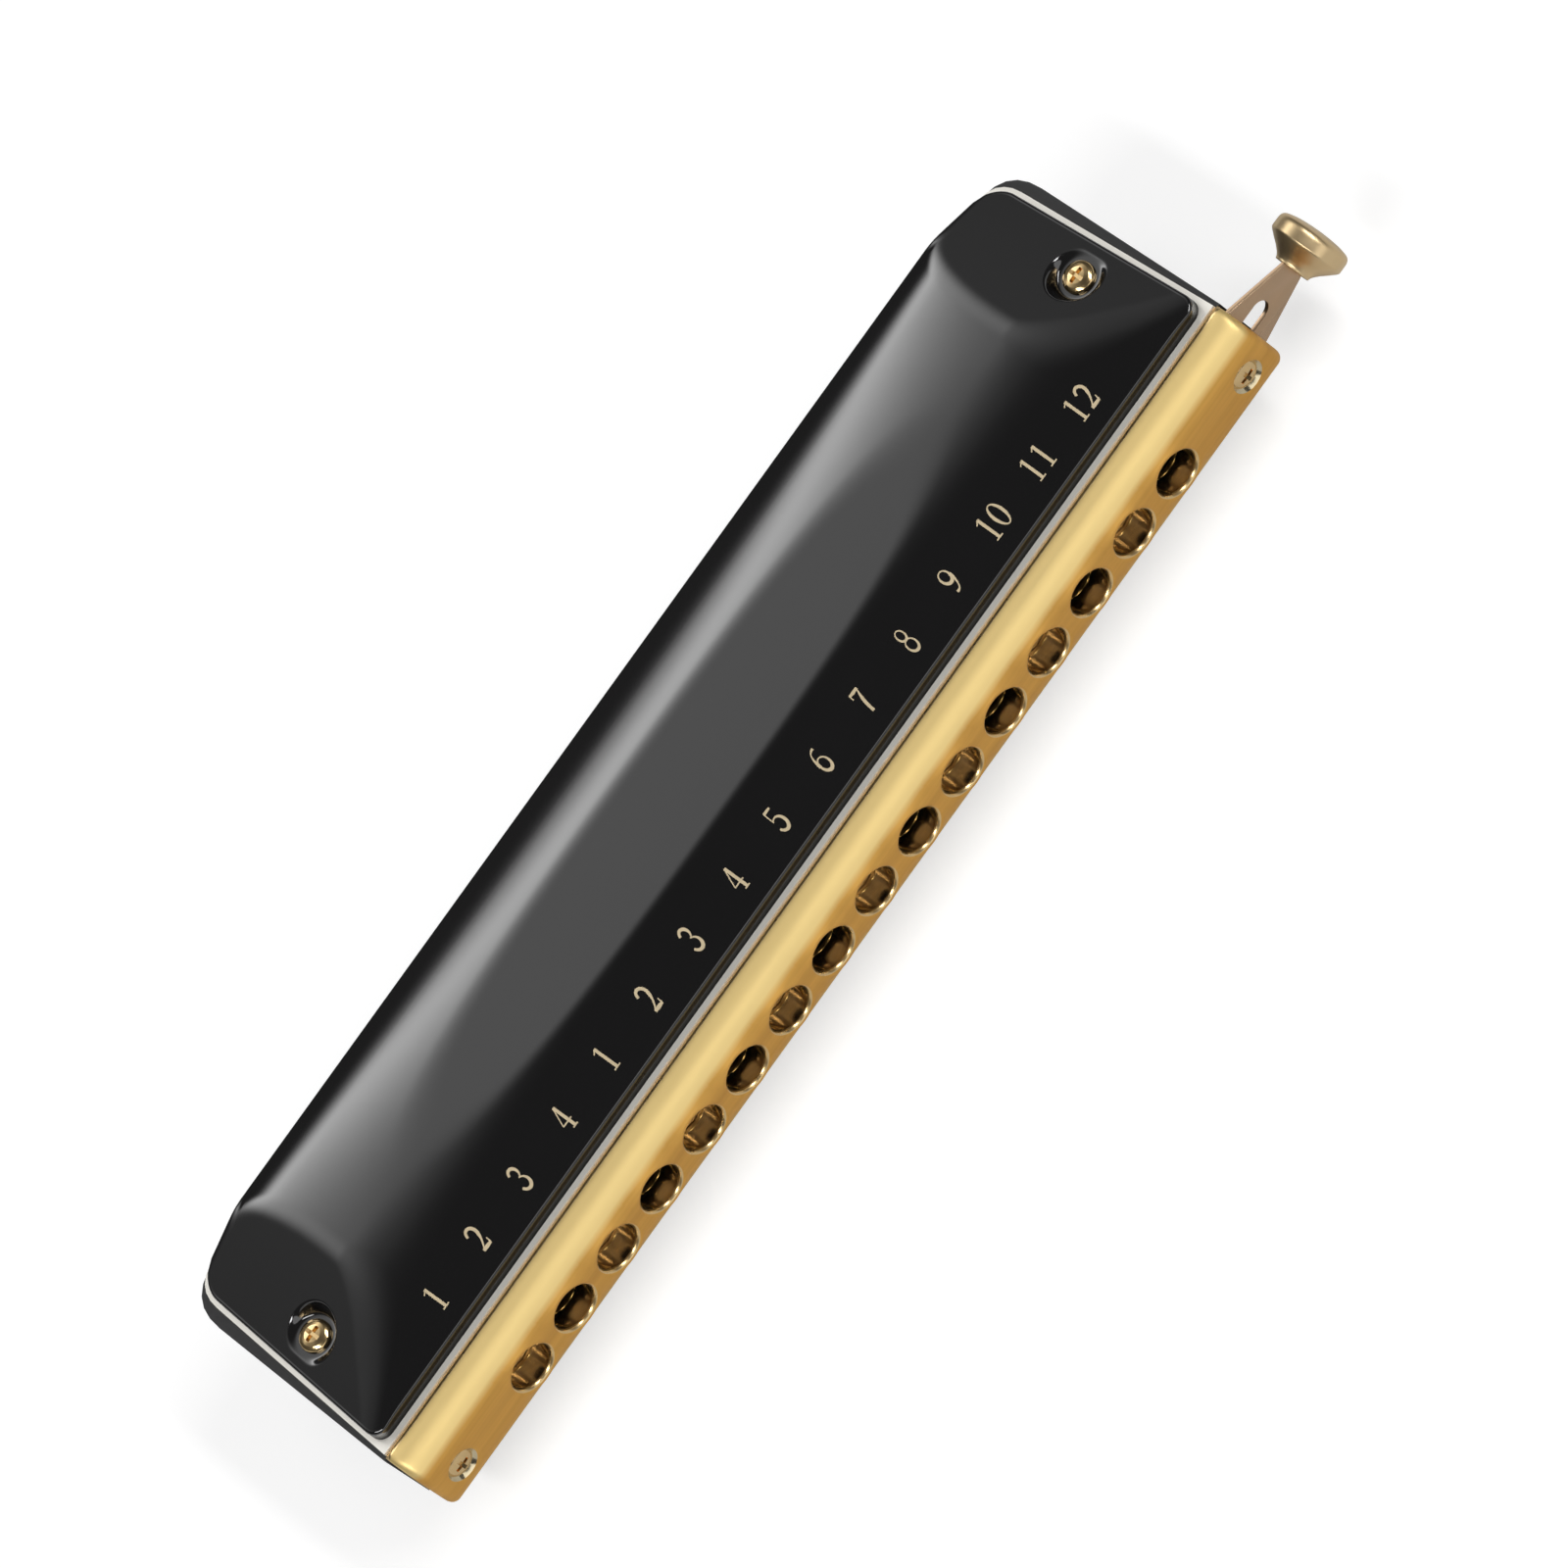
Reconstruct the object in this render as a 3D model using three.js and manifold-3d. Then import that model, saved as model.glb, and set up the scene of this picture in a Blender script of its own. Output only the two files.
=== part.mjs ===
// Chromatic harmonica with sixteen holes, in millimetres.
// It is built about the middle of its front: x runs along the row of holes with the low notes at -x,
// y runs from the mouthpiece to the open back, and z = 0 is the middle of the comb.
// The last lines lay it on the flat of its lower cover, with the origin in the middle of that flat.
import * as THREE from "three";
import { mergeGeometries, mergeVertices } from "three/addons/utils/BufferGeometryUtils.js";
import Module from "manifold-3d";

const wasm = await Module();
wasm.setup();

// Row of holes
const HOLE_COUNT = 16;
const HOLE_PITCH = 9.5;
const HOLE_WEB = 2.7;
const HOLE_RIM_R = 0.7;

// Mouthpiece
const MOUTH_END = 15.8;
const MOUTH_FACE = 4;
const MOUTH_LIP = 1;
const MOUTH_EDGE_R = 4.6;
const MOUTH_END_R = 1.3;
const MOUTH_SCREW_INSET = 5.1;
const SINK_ROOM = 0.2;

// Slide, its frame and its backing plate
const FRAME_T = 0.5;
const FRAME_WALL = 0.4;
const FRAME_PLAY = 0.1;
const SLIDE_PLAY = 0.1;
const SLIDE_EDGE_PLAY = 0.1;
const SLIDE_T = 0.7;
const SLIDE_TRAVEL = 4.6;
const SLIDE_SLOT_PLAY = 0.25;
const SLIDE_SLOT_OUTSIDE = 4.3;
const SLIDE_END_MARGIN = 1.2;
const STACK_END_MARGIN = 0.8;
const BACKING_T = 0.8;
const NECK_LENGTH = 9.6;
const NECK_HALF_HEIGHT = 2.3;
const NECK_DROP = 0.8;
const TONGUE_LENGTH = 2;
const TONGUE_PLAY = 0.1;
const WINDOW_H = 3;
const WINDOW_WEB = 0.9;

// Button
const BUTTON_R = 5.4;
const BUTTON_FOOT_WALL = 0.3;
const BUTTON_CONE = 2.9;
const BUTTON_RIM = 2.4;
const BUTTON_DOME = 0.8;

// Comb
const COMB_PROUD = 0.4;
const COMB_LEAN = 1;
const COMB_HALF_HEIGHT = 6;
const COMB_DEPTH = 40.6;
const COMB_CORNER_R = 7;
const CELL_WALL = 2.5;
const CELL_WEB = 1.5;
const CELL_FRONT_WALL = 2;
const CELL_TAIL = 0.6;

// Reed plates and reeds
const PLATE_T = 1;
const PLATE_END_INSET = 0.7;
const PLATE_LEAN = 2.4;
const PLATE_BACK_INSET = 0.5;
const PLATE_CORNER_R = 5;
const SLOT_WEB = 1.2;
const SLOT_LONGEST = 23;
const SLOT_SHORTEST = 9;
const REED_T = 0.35;
const REED_SEAT = 0.1;
const REED_PLAY = 0.15;
const REED_PAD = 2.7;
const REED_PAD_GAP = 0.7;

// Covers
const COVER_WALL = 0.9;
const COVER_FRONT_GAP = 0.9;
const COVER_END_INSET = 0.75;
const COVER_LEAN = 2.5;
const COVER_BACK_INSET = 2.4;
const COVER_FRONT_CORNER_R = 2.2;
const COVER_BACK_CORNER_R = 3.8;
const COVER_HEIGHT = 8;
const SKIRT_HEIGHT = 2.1;
const LAND_RUN = 17.4;
const CROWN_Y = 17.9;
const ROLL_DEPTH = 4.5;
const ROLL_DROP = 1.32;
const BACK_SAG = 1;
const ROLL_SHARP = 0.1;
const LIP_CURL = 0.73;
const PILLOW = 0.95;
const PILLOW_BACK = 13;
const FLAT_END_INSET = 34.75;
const COVER_SCREW_INSET = 6.25;
const COVER_SCREW_BACK = 16.9;
const DIMPLE_ROOM = 0.55;
const DIMPLE_FLOOR = 2.7;
const BOSS_WALL = 0.8;

// Screws, nuts, bumpers and spring
const TURN_GAP = 0.3;
const COVER_SCREW_R = 1;
const COVER_HEAD_R = 2.35;
const COVER_HEAD_H = 1.1;
const NUT_WALL = 0.3;
const NUT_SLOT_W = 0.7;
const MOUTH_SCREW_R = 1;
const MOUTH_HEAD_R = 2.2;
const MOUTH_HEAD_H = 1.2;
const MOUTH_SCREW_LENGTH = 15;
const BUMPER_PLAY = 0.12;
const BUMPER_WALL = 0.28;
const CROSS_W = 0.6;
const CROSS_DEPTH = 0.6;
const PLATE_SCREW_R = 0.7;
const PLATE_HEAD_R = 1.4;
const PLATE_HEAD_H = 0.6;
const PLATE_SCREW_LENGTH = 3.6;
const PLATE_SCREW_INSET = 12.5;
const PLATE_SCREW_FRONT_Y = 4.4;
const PLATE_SCREW_BACK_INSET = 3.6;
const SPRING_WIRE_R = 0.35;
const SPRING_COIL_R = 1.9;
const SPRING_COIL_PITCH = 0.95;
const SPRING_TURNS = 1.5;
const SPRING_COIL_Y = 9;
const SPRING_SIDE_ROOM = 1.05;
const SPRING_BACK_ROOM = 0.75;
const SPRING_TOP_ROOM = 1.24;
const POCKET_SCREW_WALL = 0.8;
const POCKET_CELL_WALL = 1.85;

// A cut runs past the face it opens by this much.
const OVERRUN = 1;

// Corners nearer than this are one.
const MERGE_REACH = 1e-4;

// Sizes that follow from the ones above
const HOLE_R = (HOLE_PITCH - HOLE_WEB) / 2;
const WINDOW_W = HOLE_PITCH - SLIDE_TRAVEL - WINDOW_WEB;
const CELL_W = HOLE_PITCH - CELL_WALL;
const REED_SPACING = CELL_W / 2;
const SLOT_W = REED_SPACING - SLOT_WEB;
const SLOT_FRONT = CELL_FRONT_WALL + REED_PAD + REED_PAD_GAP;
const PLATE_OUT_Z = COMB_HALF_HEIGHT + PLATE_T;
const MOUTH_HALF_HEIGHT = PLATE_OUT_Z;
const CHANNEL_HALF_HEIGHT = MOUTH_HALF_HEIGHT - MOUTH_LIP;
const FRAME_HALF_HEIGHT = CHANNEL_HALF_HEIGHT - FRAME_PLAY;
const SLIDE_HALF_HEIGHT = FRAME_HALF_HEIGHT - FRAME_WALL - SLIDE_EDGE_PLAY;
const BUTTON_FOOT_R = NECK_HALF_HEIGHT + BUTTON_FOOT_WALL;
const BUMPER_BORE_R = MOUTH_SCREW_R + BUMPER_PLAY;
const BUMPER_R = BUMPER_BORE_R + BUMPER_WALL;
const SLIDE_SLOT_R = BUMPER_R + SLIDE_SLOT_PLAY;
const SINK_R = MOUTH_HEAD_R + TURN_GAP;
const SINK_DEPTH = MOUTH_HEAD_H + SINK_ROOM;
const LAND_RISE = COVER_HEIGHT - SKIRT_HEIGHT;
const LIP_CLEAR = COVER_HEIGHT - BACK_SAG - ROLL_DROP - LIP_CURL;
const DIMPLE_FLOOR_R = COVER_HEAD_R + DIMPLE_ROOM;
const BOSS_R = DIMPLE_FLOOR_R + BOSS_WALL;
const NUT_SLEEVE_R = COVER_SCREW_R + TURN_GAP + NUT_WALL;
const NUT_SLEEVE_LENGTH = DIMPLE_FLOOR - TURN_GAP;

// Places that follow from the sizes above
const CHANNEL_FLOOR_Y = MOUTH_FACE;
const SLIDE_FRONT_Y = CHANNEL_FLOOR_Y + FRAME_T + SLIDE_PLAY;
const SLIDE_BACK_Y = SLIDE_FRONT_Y + SLIDE_T;
const SLIDE_MID_Y = (SLIDE_FRONT_Y + SLIDE_BACK_Y) / 2;
const BACKING_FRONT_Y = SLIDE_BACK_Y + SLIDE_PLAY;
const MOUTH_DEPTH = BACKING_FRONT_Y + BACKING_T;
const COMB_FRONT_Y = MOUTH_DEPTH;
const COMB_BACK_Y = COMB_FRONT_Y + COMB_DEPTH;
const COVER_FRONT_Y = COMB_FRONT_Y + COVER_FRONT_GAP;
const COVER_BACK_Y = COMB_BACK_Y - COVER_BACK_INSET;
const COVER_SCREW_Y = COVER_FRONT_Y + COVER_SCREW_BACK;
const CROWN_AT_Y = COVER_FRONT_Y + CROWN_Y;
const ROLL_Y = COVER_BACK_Y - ROLL_DEPTH;
const ROW_HALF_LENGTH = (HOLE_COUNT * HOLE_PITCH) / 2;
const MOUTH_HALF_LENGTH = ROW_HALF_LENGTH + MOUTH_END;
const MOUTH_SCREW_X = MOUTH_HALF_LENGTH - MOUTH_SCREW_INSET;
const BUTTON_FOOT_X = MOUTH_HALF_LENGTH + NECK_LENGTH;
const COMB_HALF_FRONT = MOUTH_HALF_LENGTH + COMB_PROUD;
const COMB_HALF_BACK = COMB_HALF_FRONT - COMB_LEAN;
const PLATE_HALF_FRONT = COMB_HALF_FRONT - PLATE_END_INSET;
const PLATE_HALF_BACK = PLATE_HALF_FRONT - PLATE_LEAN;
const PLATE_SCREW_X = PLATE_HALF_FRONT - PLATE_SCREW_INSET;
const COVER_HALF_FRONT = PLATE_HALF_FRONT - COVER_END_INSET;
const COVER_HALF_BACK = COVER_HALF_FRONT - COVER_LEAN;
const FLAT_HALF_LENGTH = COVER_HALF_FRONT - FLAT_END_INSET;
const COVER_SCREW_X = COVER_HALF_FRONT - COVER_SCREW_INSET;
const POCKET_IN_X = ROW_HALF_LENGTH - CELL_WALL / 2 + POCKET_CELL_WALL;
const POCKET_END_X = MOUTH_SCREW_X - MOUTH_SCREW_R - TURN_GAP - POCKET_SCREW_WALL;
const POCKET_DEPTH = SPRING_COIL_Y + SPRING_COIL_R + SPRING_WIRE_R + SPRING_BACK_ROOM;
const POCKET_HALF_HEIGHT = (SPRING_COIL_PITCH * SPRING_TURNS) / 2 + SPRING_WIRE_R + SPRING_TOP_ROOM;
const SPRING_COIL_X = (POCKET_IN_X + POCKET_END_X) / 2;
const SPRING_TIP_X = POCKET_IN_X + SPRING_WIRE_R + SPRING_SIDE_ROOM;

// The cover's front slope and the fall of its pillow are powers of the way left to the crown.
const FRONT_SLOPE_POWER = 2.82;
const PILLOW_POWER = 1.5;

// The ends of the comb, the reed plates and the covers lean in towards the back.
const COMB_ENDS = { front: COMB_HALF_FRONT, back: COMB_HALF_BACK };
const PLATE_ENDS = { front: PLATE_HALF_FRONT, back: PLATE_HALF_BACK };
const COVER_ENDS = { front: COVER_HALF_FRONT, back: COVER_HALF_BACK };
const COVER_INSIDE_ENDS = {
  front: COVER_HALF_FRONT - COVER_WALL,
  back: COVER_HALF_BACK - COVER_WALL,
};

// The dimple widens upwards by this share of its rise.
const DIMPLE_DRAFT_SHARE = 0.13;

const LACQUER = { color: 0x141414, roughness: 0.22, metalness: 0.1 };
const GILT = { color: 0xd9ab4e, roughness: 0.16, metalness: 1 };
const NICKEL = { color: 0xcfccc6, roughness: 0.25, metalness: 1 };
const BRASS = { color: 0xb99a55, roughness: 0.35, metalness: 1 };
const BODY_PLASTIC = { color: 0x1b1b1d, roughness: 0.45, metalness: 0 };
const SOFT_TUBE = { color: 0xd8d2c4, roughness: 0.7, metalness: 0 };
const SPRING_STEEL = { color: 0xa9a9ac, roughness: 0.3, metalness: 1 };

// Solids

// A closed geometry as a solid that can be joined and cut.
function solid(geometry) {
  const bare = geometry.index ? geometry.toNonIndexed() : geometry.clone();
  bare.deleteAttribute("normal");
  bare.deleteAttribute("uv");
  const merged = mergeVertices(bare, MERGE_REACH);
  return new wasm.Manifold(
    new wasm.Mesh({
      numProp: 3,
      vertProperties: new Float32Array(merged.attributes.position.array),
      triVerts: new Uint32Array(merged.index.array),
    }),
  );
}

// Several closed geometries that don't touch, as one solid.
function solids(geometries) {
  const bare = geometries.map((g) => {
    const one = g.index ? g.toNonIndexed() : g.clone();
    one.deleteAttribute("normal");
    one.deleteAttribute("uv");
    return one;
  });
  return solid(mergeGeometries(bare));
}

// A solid back as a geometry with flat facets.
function geometryOf(body) {
  const mesh = body.getMesh();
  const count = mesh.numProp;
  const places = new Float32Array(mesh.numVert * 3);
  for (let i = 0; i < mesh.numVert; i++) {
    places.set(mesh.vertProperties.subarray(i * count, i * count + 3), i * 3);
  }
  const geometry = new THREE.BufferGeometry();
  geometry.setAttribute("position", new THREE.BufferAttribute(places, 3));
  geometry.setIndex(new THREE.BufferAttribute(new Uint32Array(mesh.triVerts), 1));
  const facets = geometry.toNonIndexed();
  facets.computeVertexNormals();
  return facets;
}

function block(x0, x1, y0, y1, z0, z1) {
  const g = new THREE.BoxGeometry(x1 - x0, y1 - y0, z1 - z0);
  return g.translate((x0 + x1) / 2, (y0 + y1) / 2, (z0 + z1) / 2);
}

// A profile of [radius, height] points turned about +z.
function turned(points, sides) {
  const profile = points.map(([r, h]) => new THREE.Vector2(r, h));
  return new THREE.LatheGeometry(profile, sides).rotateX(Math.PI / 2);
}

// The same about +y, starting at the front and running back.
function turnedBack(points, sides) {
  return turned(points, sides).rotateX(-Math.PI / 2);
}

// A plan outline, drawn in x and y, raised from z0 to z1.
function raised(shape, z0, z1, curveSegments = 6) {
  const g = new THREE.ExtrudeGeometry(shape, { depth: z1 - z0, bevelEnabled: false, curveSegments });
  return g.translate(0, 0, z0);
}

function rod(r, z0, z1, sides) {
  return turned([[0, z0], [r, z0], [r, z1], [0, z1]], sides);
}

function rodBack(r, y0, y1, sides) {
  return turnedBack([[0, y0], [r, y0], [r, y1], [0, y1]], sides);
}

function mesh(name, geometry, look) {
  const made = new THREE.Mesh(geometry, new THREE.MeshStandardMaterial(look));
  made.name = name;
  return made;
}

function holeX(index) {
  return (index - (HOLE_COUNT - 1) / 2) * HOLE_PITCH;
}

const HOLES = Array.from({ length: HOLE_COUNT }, (_, i) => i);

// The half length of a piece at y, between its front and back half lengths.
function halfLengthAt(y, ends) {
  return ends.front - ((ends.front - ends.back) * (y - COMB_FRONT_Y)) / COMB_DEPTH;
}

// The plan of the comb, a plate or a cover: ends that lean in, and round corners.
function planShape(ends, y0, y1, frontR, backR) {
  const x0 = halfLengthAt(y0, ends);
  const x1 = halfLengthAt(y1, ends);
  const frontX = halfLengthAt(y0 + frontR, ends);
  const backX = halfLengthAt(y1 - backR, ends);
  const shape = new THREE.Shape();
  shape.moveTo(-x0 + frontR, y0);
  shape.lineTo(x0 - frontR, y0);
  if (frontR) shape.quadraticCurveTo(x0, y0, frontX, y0 + frontR);
  shape.lineTo(backX, y1 - backR);
  if (backR) shape.quadraticCurveTo(x1, y1, x1 - backR, y1);
  shape.lineTo(-x1 + backR, y1);
  if (backR) shape.quadraticCurveTo(-x1, y1, -backX, y1 - backR);
  shape.lineTo(-frontX, y0 + frontR);
  if (frontR) shape.quadraticCurveTo(-x0, y0, -x0 + frontR, y0);
  return shape;
}

// Covers

// How high the cover's outside stands above its plate, before its ends and its flat are cut.
function domeHeight(x, y) {
  return archHeight(y) + PILLOW * (1 - (x / FLAT_HALF_LENGTH) ** 2) * pillowShare(y);
}

function archHeight(y) {
  if (y <= CROWN_AT_Y) {
    const left = Math.min(1, (CROWN_AT_Y - y) / CROWN_Y);
    return SKIRT_HEIGHT + (COVER_HEIGHT - SKIRT_HEIGHT) * (1 - left ** FRONT_SLOPE_POWER);
  }
  const rollTop = COVER_HEIGHT - BACK_SAG;
  if (y <= ROLL_Y) return COVER_HEIGHT - BACK_SAG * ((y - CROWN_AT_Y) / (ROLL_Y - CROWN_AT_Y)) ** 2;
  const round = Math.min(1, (y - ROLL_Y) / (ROLL_DEPTH + ROLL_SHARP));
  return rollTop - ROLL_DROP * (1 - Math.sqrt(1 - round ** 2));
}

function pillowShare(y) {
  if (y < CROWN_AT_Y) return Math.max(0, 1 - ((CROWN_AT_Y - y) / CROWN_Y) ** PILLOW_POWER);
  return Math.max(0, 1 - ((y - CROWN_AT_Y) / PILLOW_BACK) ** 2) ** 2;
}

// The same surface one wall further in.
function domeInside(x, y) {
  const step = COVER_WALL / 4;
  const slope = (domeHeight(x, y + step) - domeHeight(x, y - step)) / (2 * step);
  const inside = domeHeight(x, y) - COVER_WALL * Math.sqrt(1 + slope ** 2);
  return y > ROLL_Y ? Math.max(inside, LIP_CLEAR) : inside;
}

// Shares of the half length and of the depth at which the dome's surface has its grid lines.
const DOME_COLUMN_SHARES = [-1, -0.8, -0.55, -0.28, 0, 0.28, 0.55, 0.8, 1];
const FRONT_ROW_SHARES = [0, 0.08, 0.18, 0.31, 0.48, 0.7, 1];
const BACK_ROW_SHARES = [0.3, 0.65, 1];
const ROLL_ROW_SHARES = [0.5, 0.84, 1];

function domeRows(y0, y1) {
  const rows = [
    ...FRONT_ROW_SHARES.map((s) => y0 + (CROWN_AT_Y - y0) * s),
    ...BACK_ROW_SHARES.map((s) => CROWN_AT_Y + (ROLL_Y - CROWN_AT_Y) * s),
    ...ROLL_ROW_SHARES.map((s) => ROLL_Y + ROLL_DEPTH * s),
  ];
  if (y1 > COVER_BACK_Y) rows.push(y1);
  return rows;
}

// A closed solid under the surface height(x, y), down to z0, over a grid of columns and rows.
function underSurface(columns, rows, height, z0) {
  const points = [];
  const faces = [];
  const last = columns.length;
  const lower = last * rows.length;
  for (const y of rows) for (const x of columns) points.push(x, y, height(x, y));
  for (const y of rows) for (const x of columns) points.push(x, y, z0);
  const at = (i, j) => j * last + i;
  const quad = (a, b, c, d) => faces.push(a, b, c, a, c, d);
  for (let j = 0; j < rows.length - 1; j++) {
    for (let i = 0; i < last - 1; i++) {
      quad(at(i, j), at(i + 1, j), at(i + 1, j + 1), at(i, j + 1));
      quad(lower + at(i, j), lower + at(i, j + 1), lower + at(i + 1, j + 1), lower + at(i + 1, j));
    }
  }
  for (let i = 0; i < last - 1; i++) {
    const end = rows.length - 1;
    quad(lower + at(i, 0), lower + at(i + 1, 0), at(i + 1, 0), at(i, 0));
    quad(at(i, end), at(i + 1, end), lower + at(i + 1, end), lower + at(i, end));
  }
  for (let j = 0; j < rows.length - 1; j++) {
    quad(at(0, j), at(0, j + 1), lower + at(0, j + 1), lower + at(0, j));
    quad(lower + at(last - 1, j), lower + at(last - 1, j + 1), at(last - 1, j + 1), at(last - 1, j));
  }
  const g = new THREE.BufferGeometry();
  g.setAttribute("position", new THREE.Float32BufferAttribute(points, 3));
  g.setIndex(faces);
  return g;
}

// The space below the flat and the two sloping lands, lowered by drop, as a prism along y.
function underLands(drop, y0, y1, z0) {
  const points = [];
  for (const y of [y0, y1]) {
    const end = halfLengthAt(y, COVER_ENDS);
    const foot = SKIRT_HEIGHT - drop - (LAND_RISE / LAND_RUN) * OVERRUN;
    const top = COVER_HEIGHT - Math.min(drop, COVER_WALL);
    const run = ((top - foot) * LAND_RUN) / LAND_RISE;
    for (const side of [-1, 1]) {
      const foots = [side * (end + OVERRUN), foot];
      const tops = [side * (end + OVERRUN - run), top];
      points.push(side < 0 ? [foots, tops] : [tops, foots]);
    }
  }
  const [frontLeft, frontRight, backLeft, backRight] = points;
  const front = [[frontLeft[0][0], z0], ...frontLeft, ...frontRight, [frontRight[1][0], z0]];
  const back = [[backLeft[0][0], z0], ...backLeft, ...backRight, [backRight[1][0], z0]];
  return prismBetween(front, y0, back, y1);
}

// A closed prism between two outlines in x and z, both clockwise seen from the front.
function prismBetween(front, y0, back, y1) {
  const count = front.length;
  const places = [...front.map(([x, z]) => [x, y0, z]), ...back.map(([x, z]) => [x, y1, z])].flat();
  const faces = [];
  for (let i = 0; i < count; i++) {
    const next = (i + 1) % count;
    faces.push(i, next + count, i + count, i, next, next + count);
  }
  for (let i = 1; i < count - 1; i++) {
    faces.push(0, i + 1, i);
    faces.push(count, count + i, count + i + 1);
  }
  const g = new THREE.BufferGeometry();
  g.setAttribute("position", new THREE.Float32BufferAttribute(places, 3));
  g.setIndex(faces);
  return g;
}

// The outside of a cover as a filled form standing on z = 0.
function coverOutside() {
  const reach = COMB_HALF_FRONT;
  const columns = DOME_COLUMN_SHARES.map((s) => s * reach);
  const rows = domeRows(COVER_FRONT_Y, COVER_BACK_Y);
  const dome = solid(underSurface(columns, rows, domeHeight, -OVERRUN));
  const ends = solid(underLands(0, COVER_FRONT_Y - OVERRUN, COVER_BACK_Y + OVERRUN, -2 * OVERRUN));
  const outline = planShape(
    COVER_ENDS,
    COVER_FRONT_Y,
    COVER_BACK_Y,
    COVER_FRONT_CORNER_R,
    COVER_BACK_CORNER_R,
  );
  return dome.intersect(ends).intersect(solid(raised(outline, 0, 2 * COVER_HEIGHT)));
}

// The hollow of a cover: open below and, between the lands, at the back.
function coverInside() {
  const front = COVER_FRONT_Y + COVER_WALL;
  const back = COVER_BACK_Y + OVERRUN;
  const columns = DOME_COLUMN_SHARES.map((s) => s * COMB_HALF_FRONT);
  const dome = solid(underSurface(columns, domeRows(front, back), domeInside, -2 * OVERRUN));
  const slant = COVER_WALL * Math.sqrt(1 + (LAND_RISE / LAND_RUN) ** 2);
  const ends = solid(underLands(slant, front - OVERRUN, back + OVERRUN, -3 * OVERRUN));
  const outline = planShape(COVER_INSIDE_ENDS, front, back, COVER_FRONT_CORNER_R - COVER_WALL, 0);
  return dome.intersect(ends).intersect(solid(raised(outline, -OVERRUN, COVER_HEIGHT)));
}

// The round dimple that takes a screw's head, and the boss below it that stands on the plate.
function dimple(x) {
  const top = COVER_HEIGHT;
  return turned(
    [
      [0, DIMPLE_FLOOR],
      [DIMPLE_FLOOR_R, DIMPLE_FLOOR],
      [DIMPLE_FLOOR_R + (top - DIMPLE_FLOOR) * DIMPLE_DRAFT_SHARE, top],
      [0, top],
    ],
    20,
  ).translate(x, COVER_SCREW_Y, 0);
}

function coverShell(boreR) {
  const sides = [-1, 1];
  const bosses = sides.map((s) =>
    rod(BOSS_R, 0, DIMPLE_FLOOR + COVER_WALL, 16).translate(s * COVER_SCREW_X, COVER_SCREW_Y, 0),
  );
  const bores = sides.map((s) =>
    rod(boreR, -OVERRUN, COVER_HEIGHT, 12).translate(s * COVER_SCREW_X, COVER_SCREW_Y, 0),
  );
  const dimples = sides.map((s) => dimple(s * COVER_SCREW_X));
  const shell = coverOutside().subtract(coverInside());
  const kept = solids(bosses).intersect(coverOutside());
  return geometryOf(shell.add(kept).subtract(solids(dimples)).subtract(solids(bores)));
}

function upperCover() {
  const cover = mesh("upper_cover", coverShell(COVER_SCREW_R + TURN_GAP), LACQUER);
  cover.position.z = PLATE_OUT_Z;
  return cover;
}

function lowerCover() {
  const cover = mesh("lower_cover", coverShell(NUT_SLEEVE_R + TURN_GAP), LACQUER);
  cover.scale.z = -1;
  cover.position.z = -PLATE_OUT_Z;
  return cover;
}

// Comb

function cellEndY(index) {
  return COMB_FRONT_Y + SLOT_FRONT + slotLength(index) + CELL_TAIL;
}

function slotLength(index) {
  return SLOT_LONGEST + ((SLOT_SHORTEST - SLOT_LONGEST) * index) / (HOLE_COUNT - 1);
}

// One cell above the middle web, with its throat to the front.
function cellAndThroat(index) {
  const x = holeX(index);
  const web = CELL_WEB / 2;
  const wall = COMB_FRONT_Y + CELL_FRONT_WALL;
  const cell = block(
    x - CELL_W / 2,
    x + CELL_W / 2,
    wall,
    cellEndY(index),
    web,
    COMB_HALF_HEIGHT + OVERRUN,
  );
  const throat = block(
    x - WINDOW_W / 2,
    x + WINDOW_W / 2,
    COMB_FRONT_Y - OVERRUN,
    wall + CELL_FRONT_WALL / 2,
    web,
    web + WINDOW_H,
  );
  return [cell, throat];
}

// The pocket for the spring, with the post that its coil sits on.
function springPocket() {
  const pocket = block(
    -POCKET_END_X,
    -POCKET_IN_X,
    COMB_FRONT_Y - OVERRUN,
    COMB_FRONT_Y + POCKET_DEPTH,
    -POCKET_HALF_HEIGHT,
    POCKET_HALF_HEIGHT,
  );
  const postR = SPRING_COIL_R - SPRING_WIRE_R - TURN_GAP;
  const post = rod(postR, -POCKET_HALF_HEIGHT - OVERRUN, POCKET_HALF_HEIGHT + OVERRUN, 16);
  post.translate(-SPRING_COIL_X, COMB_FRONT_Y + SPRING_COIL_Y, 0);
  return solid(pocket).subtract(solid(post));
}

// Screw places on a reed plate: two behind the front corners, three along the back.
const PLATE_SCREW_BACK_X_SHARES = [-1, 0, 1];

function plateScrewPlaces() {
  const back = COMB_BACK_Y - PLATE_SCREW_BACK_INSET;
  const front = COMB_FRONT_Y + PLATE_SCREW_FRONT_Y;
  return [
    ...PLATE_SCREW_BACK_X_SHARES.map((s) => [s * PLATE_SCREW_X, back]),
    [-PLATE_SCREW_X, front],
    [PLATE_SCREW_X, front],
  ];
}

function plateScrewHoles(z0, z1) {
  return plateScrewPlaces().map(([x, y]) =>
    rod(PLATE_SCREW_R + TURN_GAP, z0, z1, 8).translate(x, y, 0),
  );
}

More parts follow.
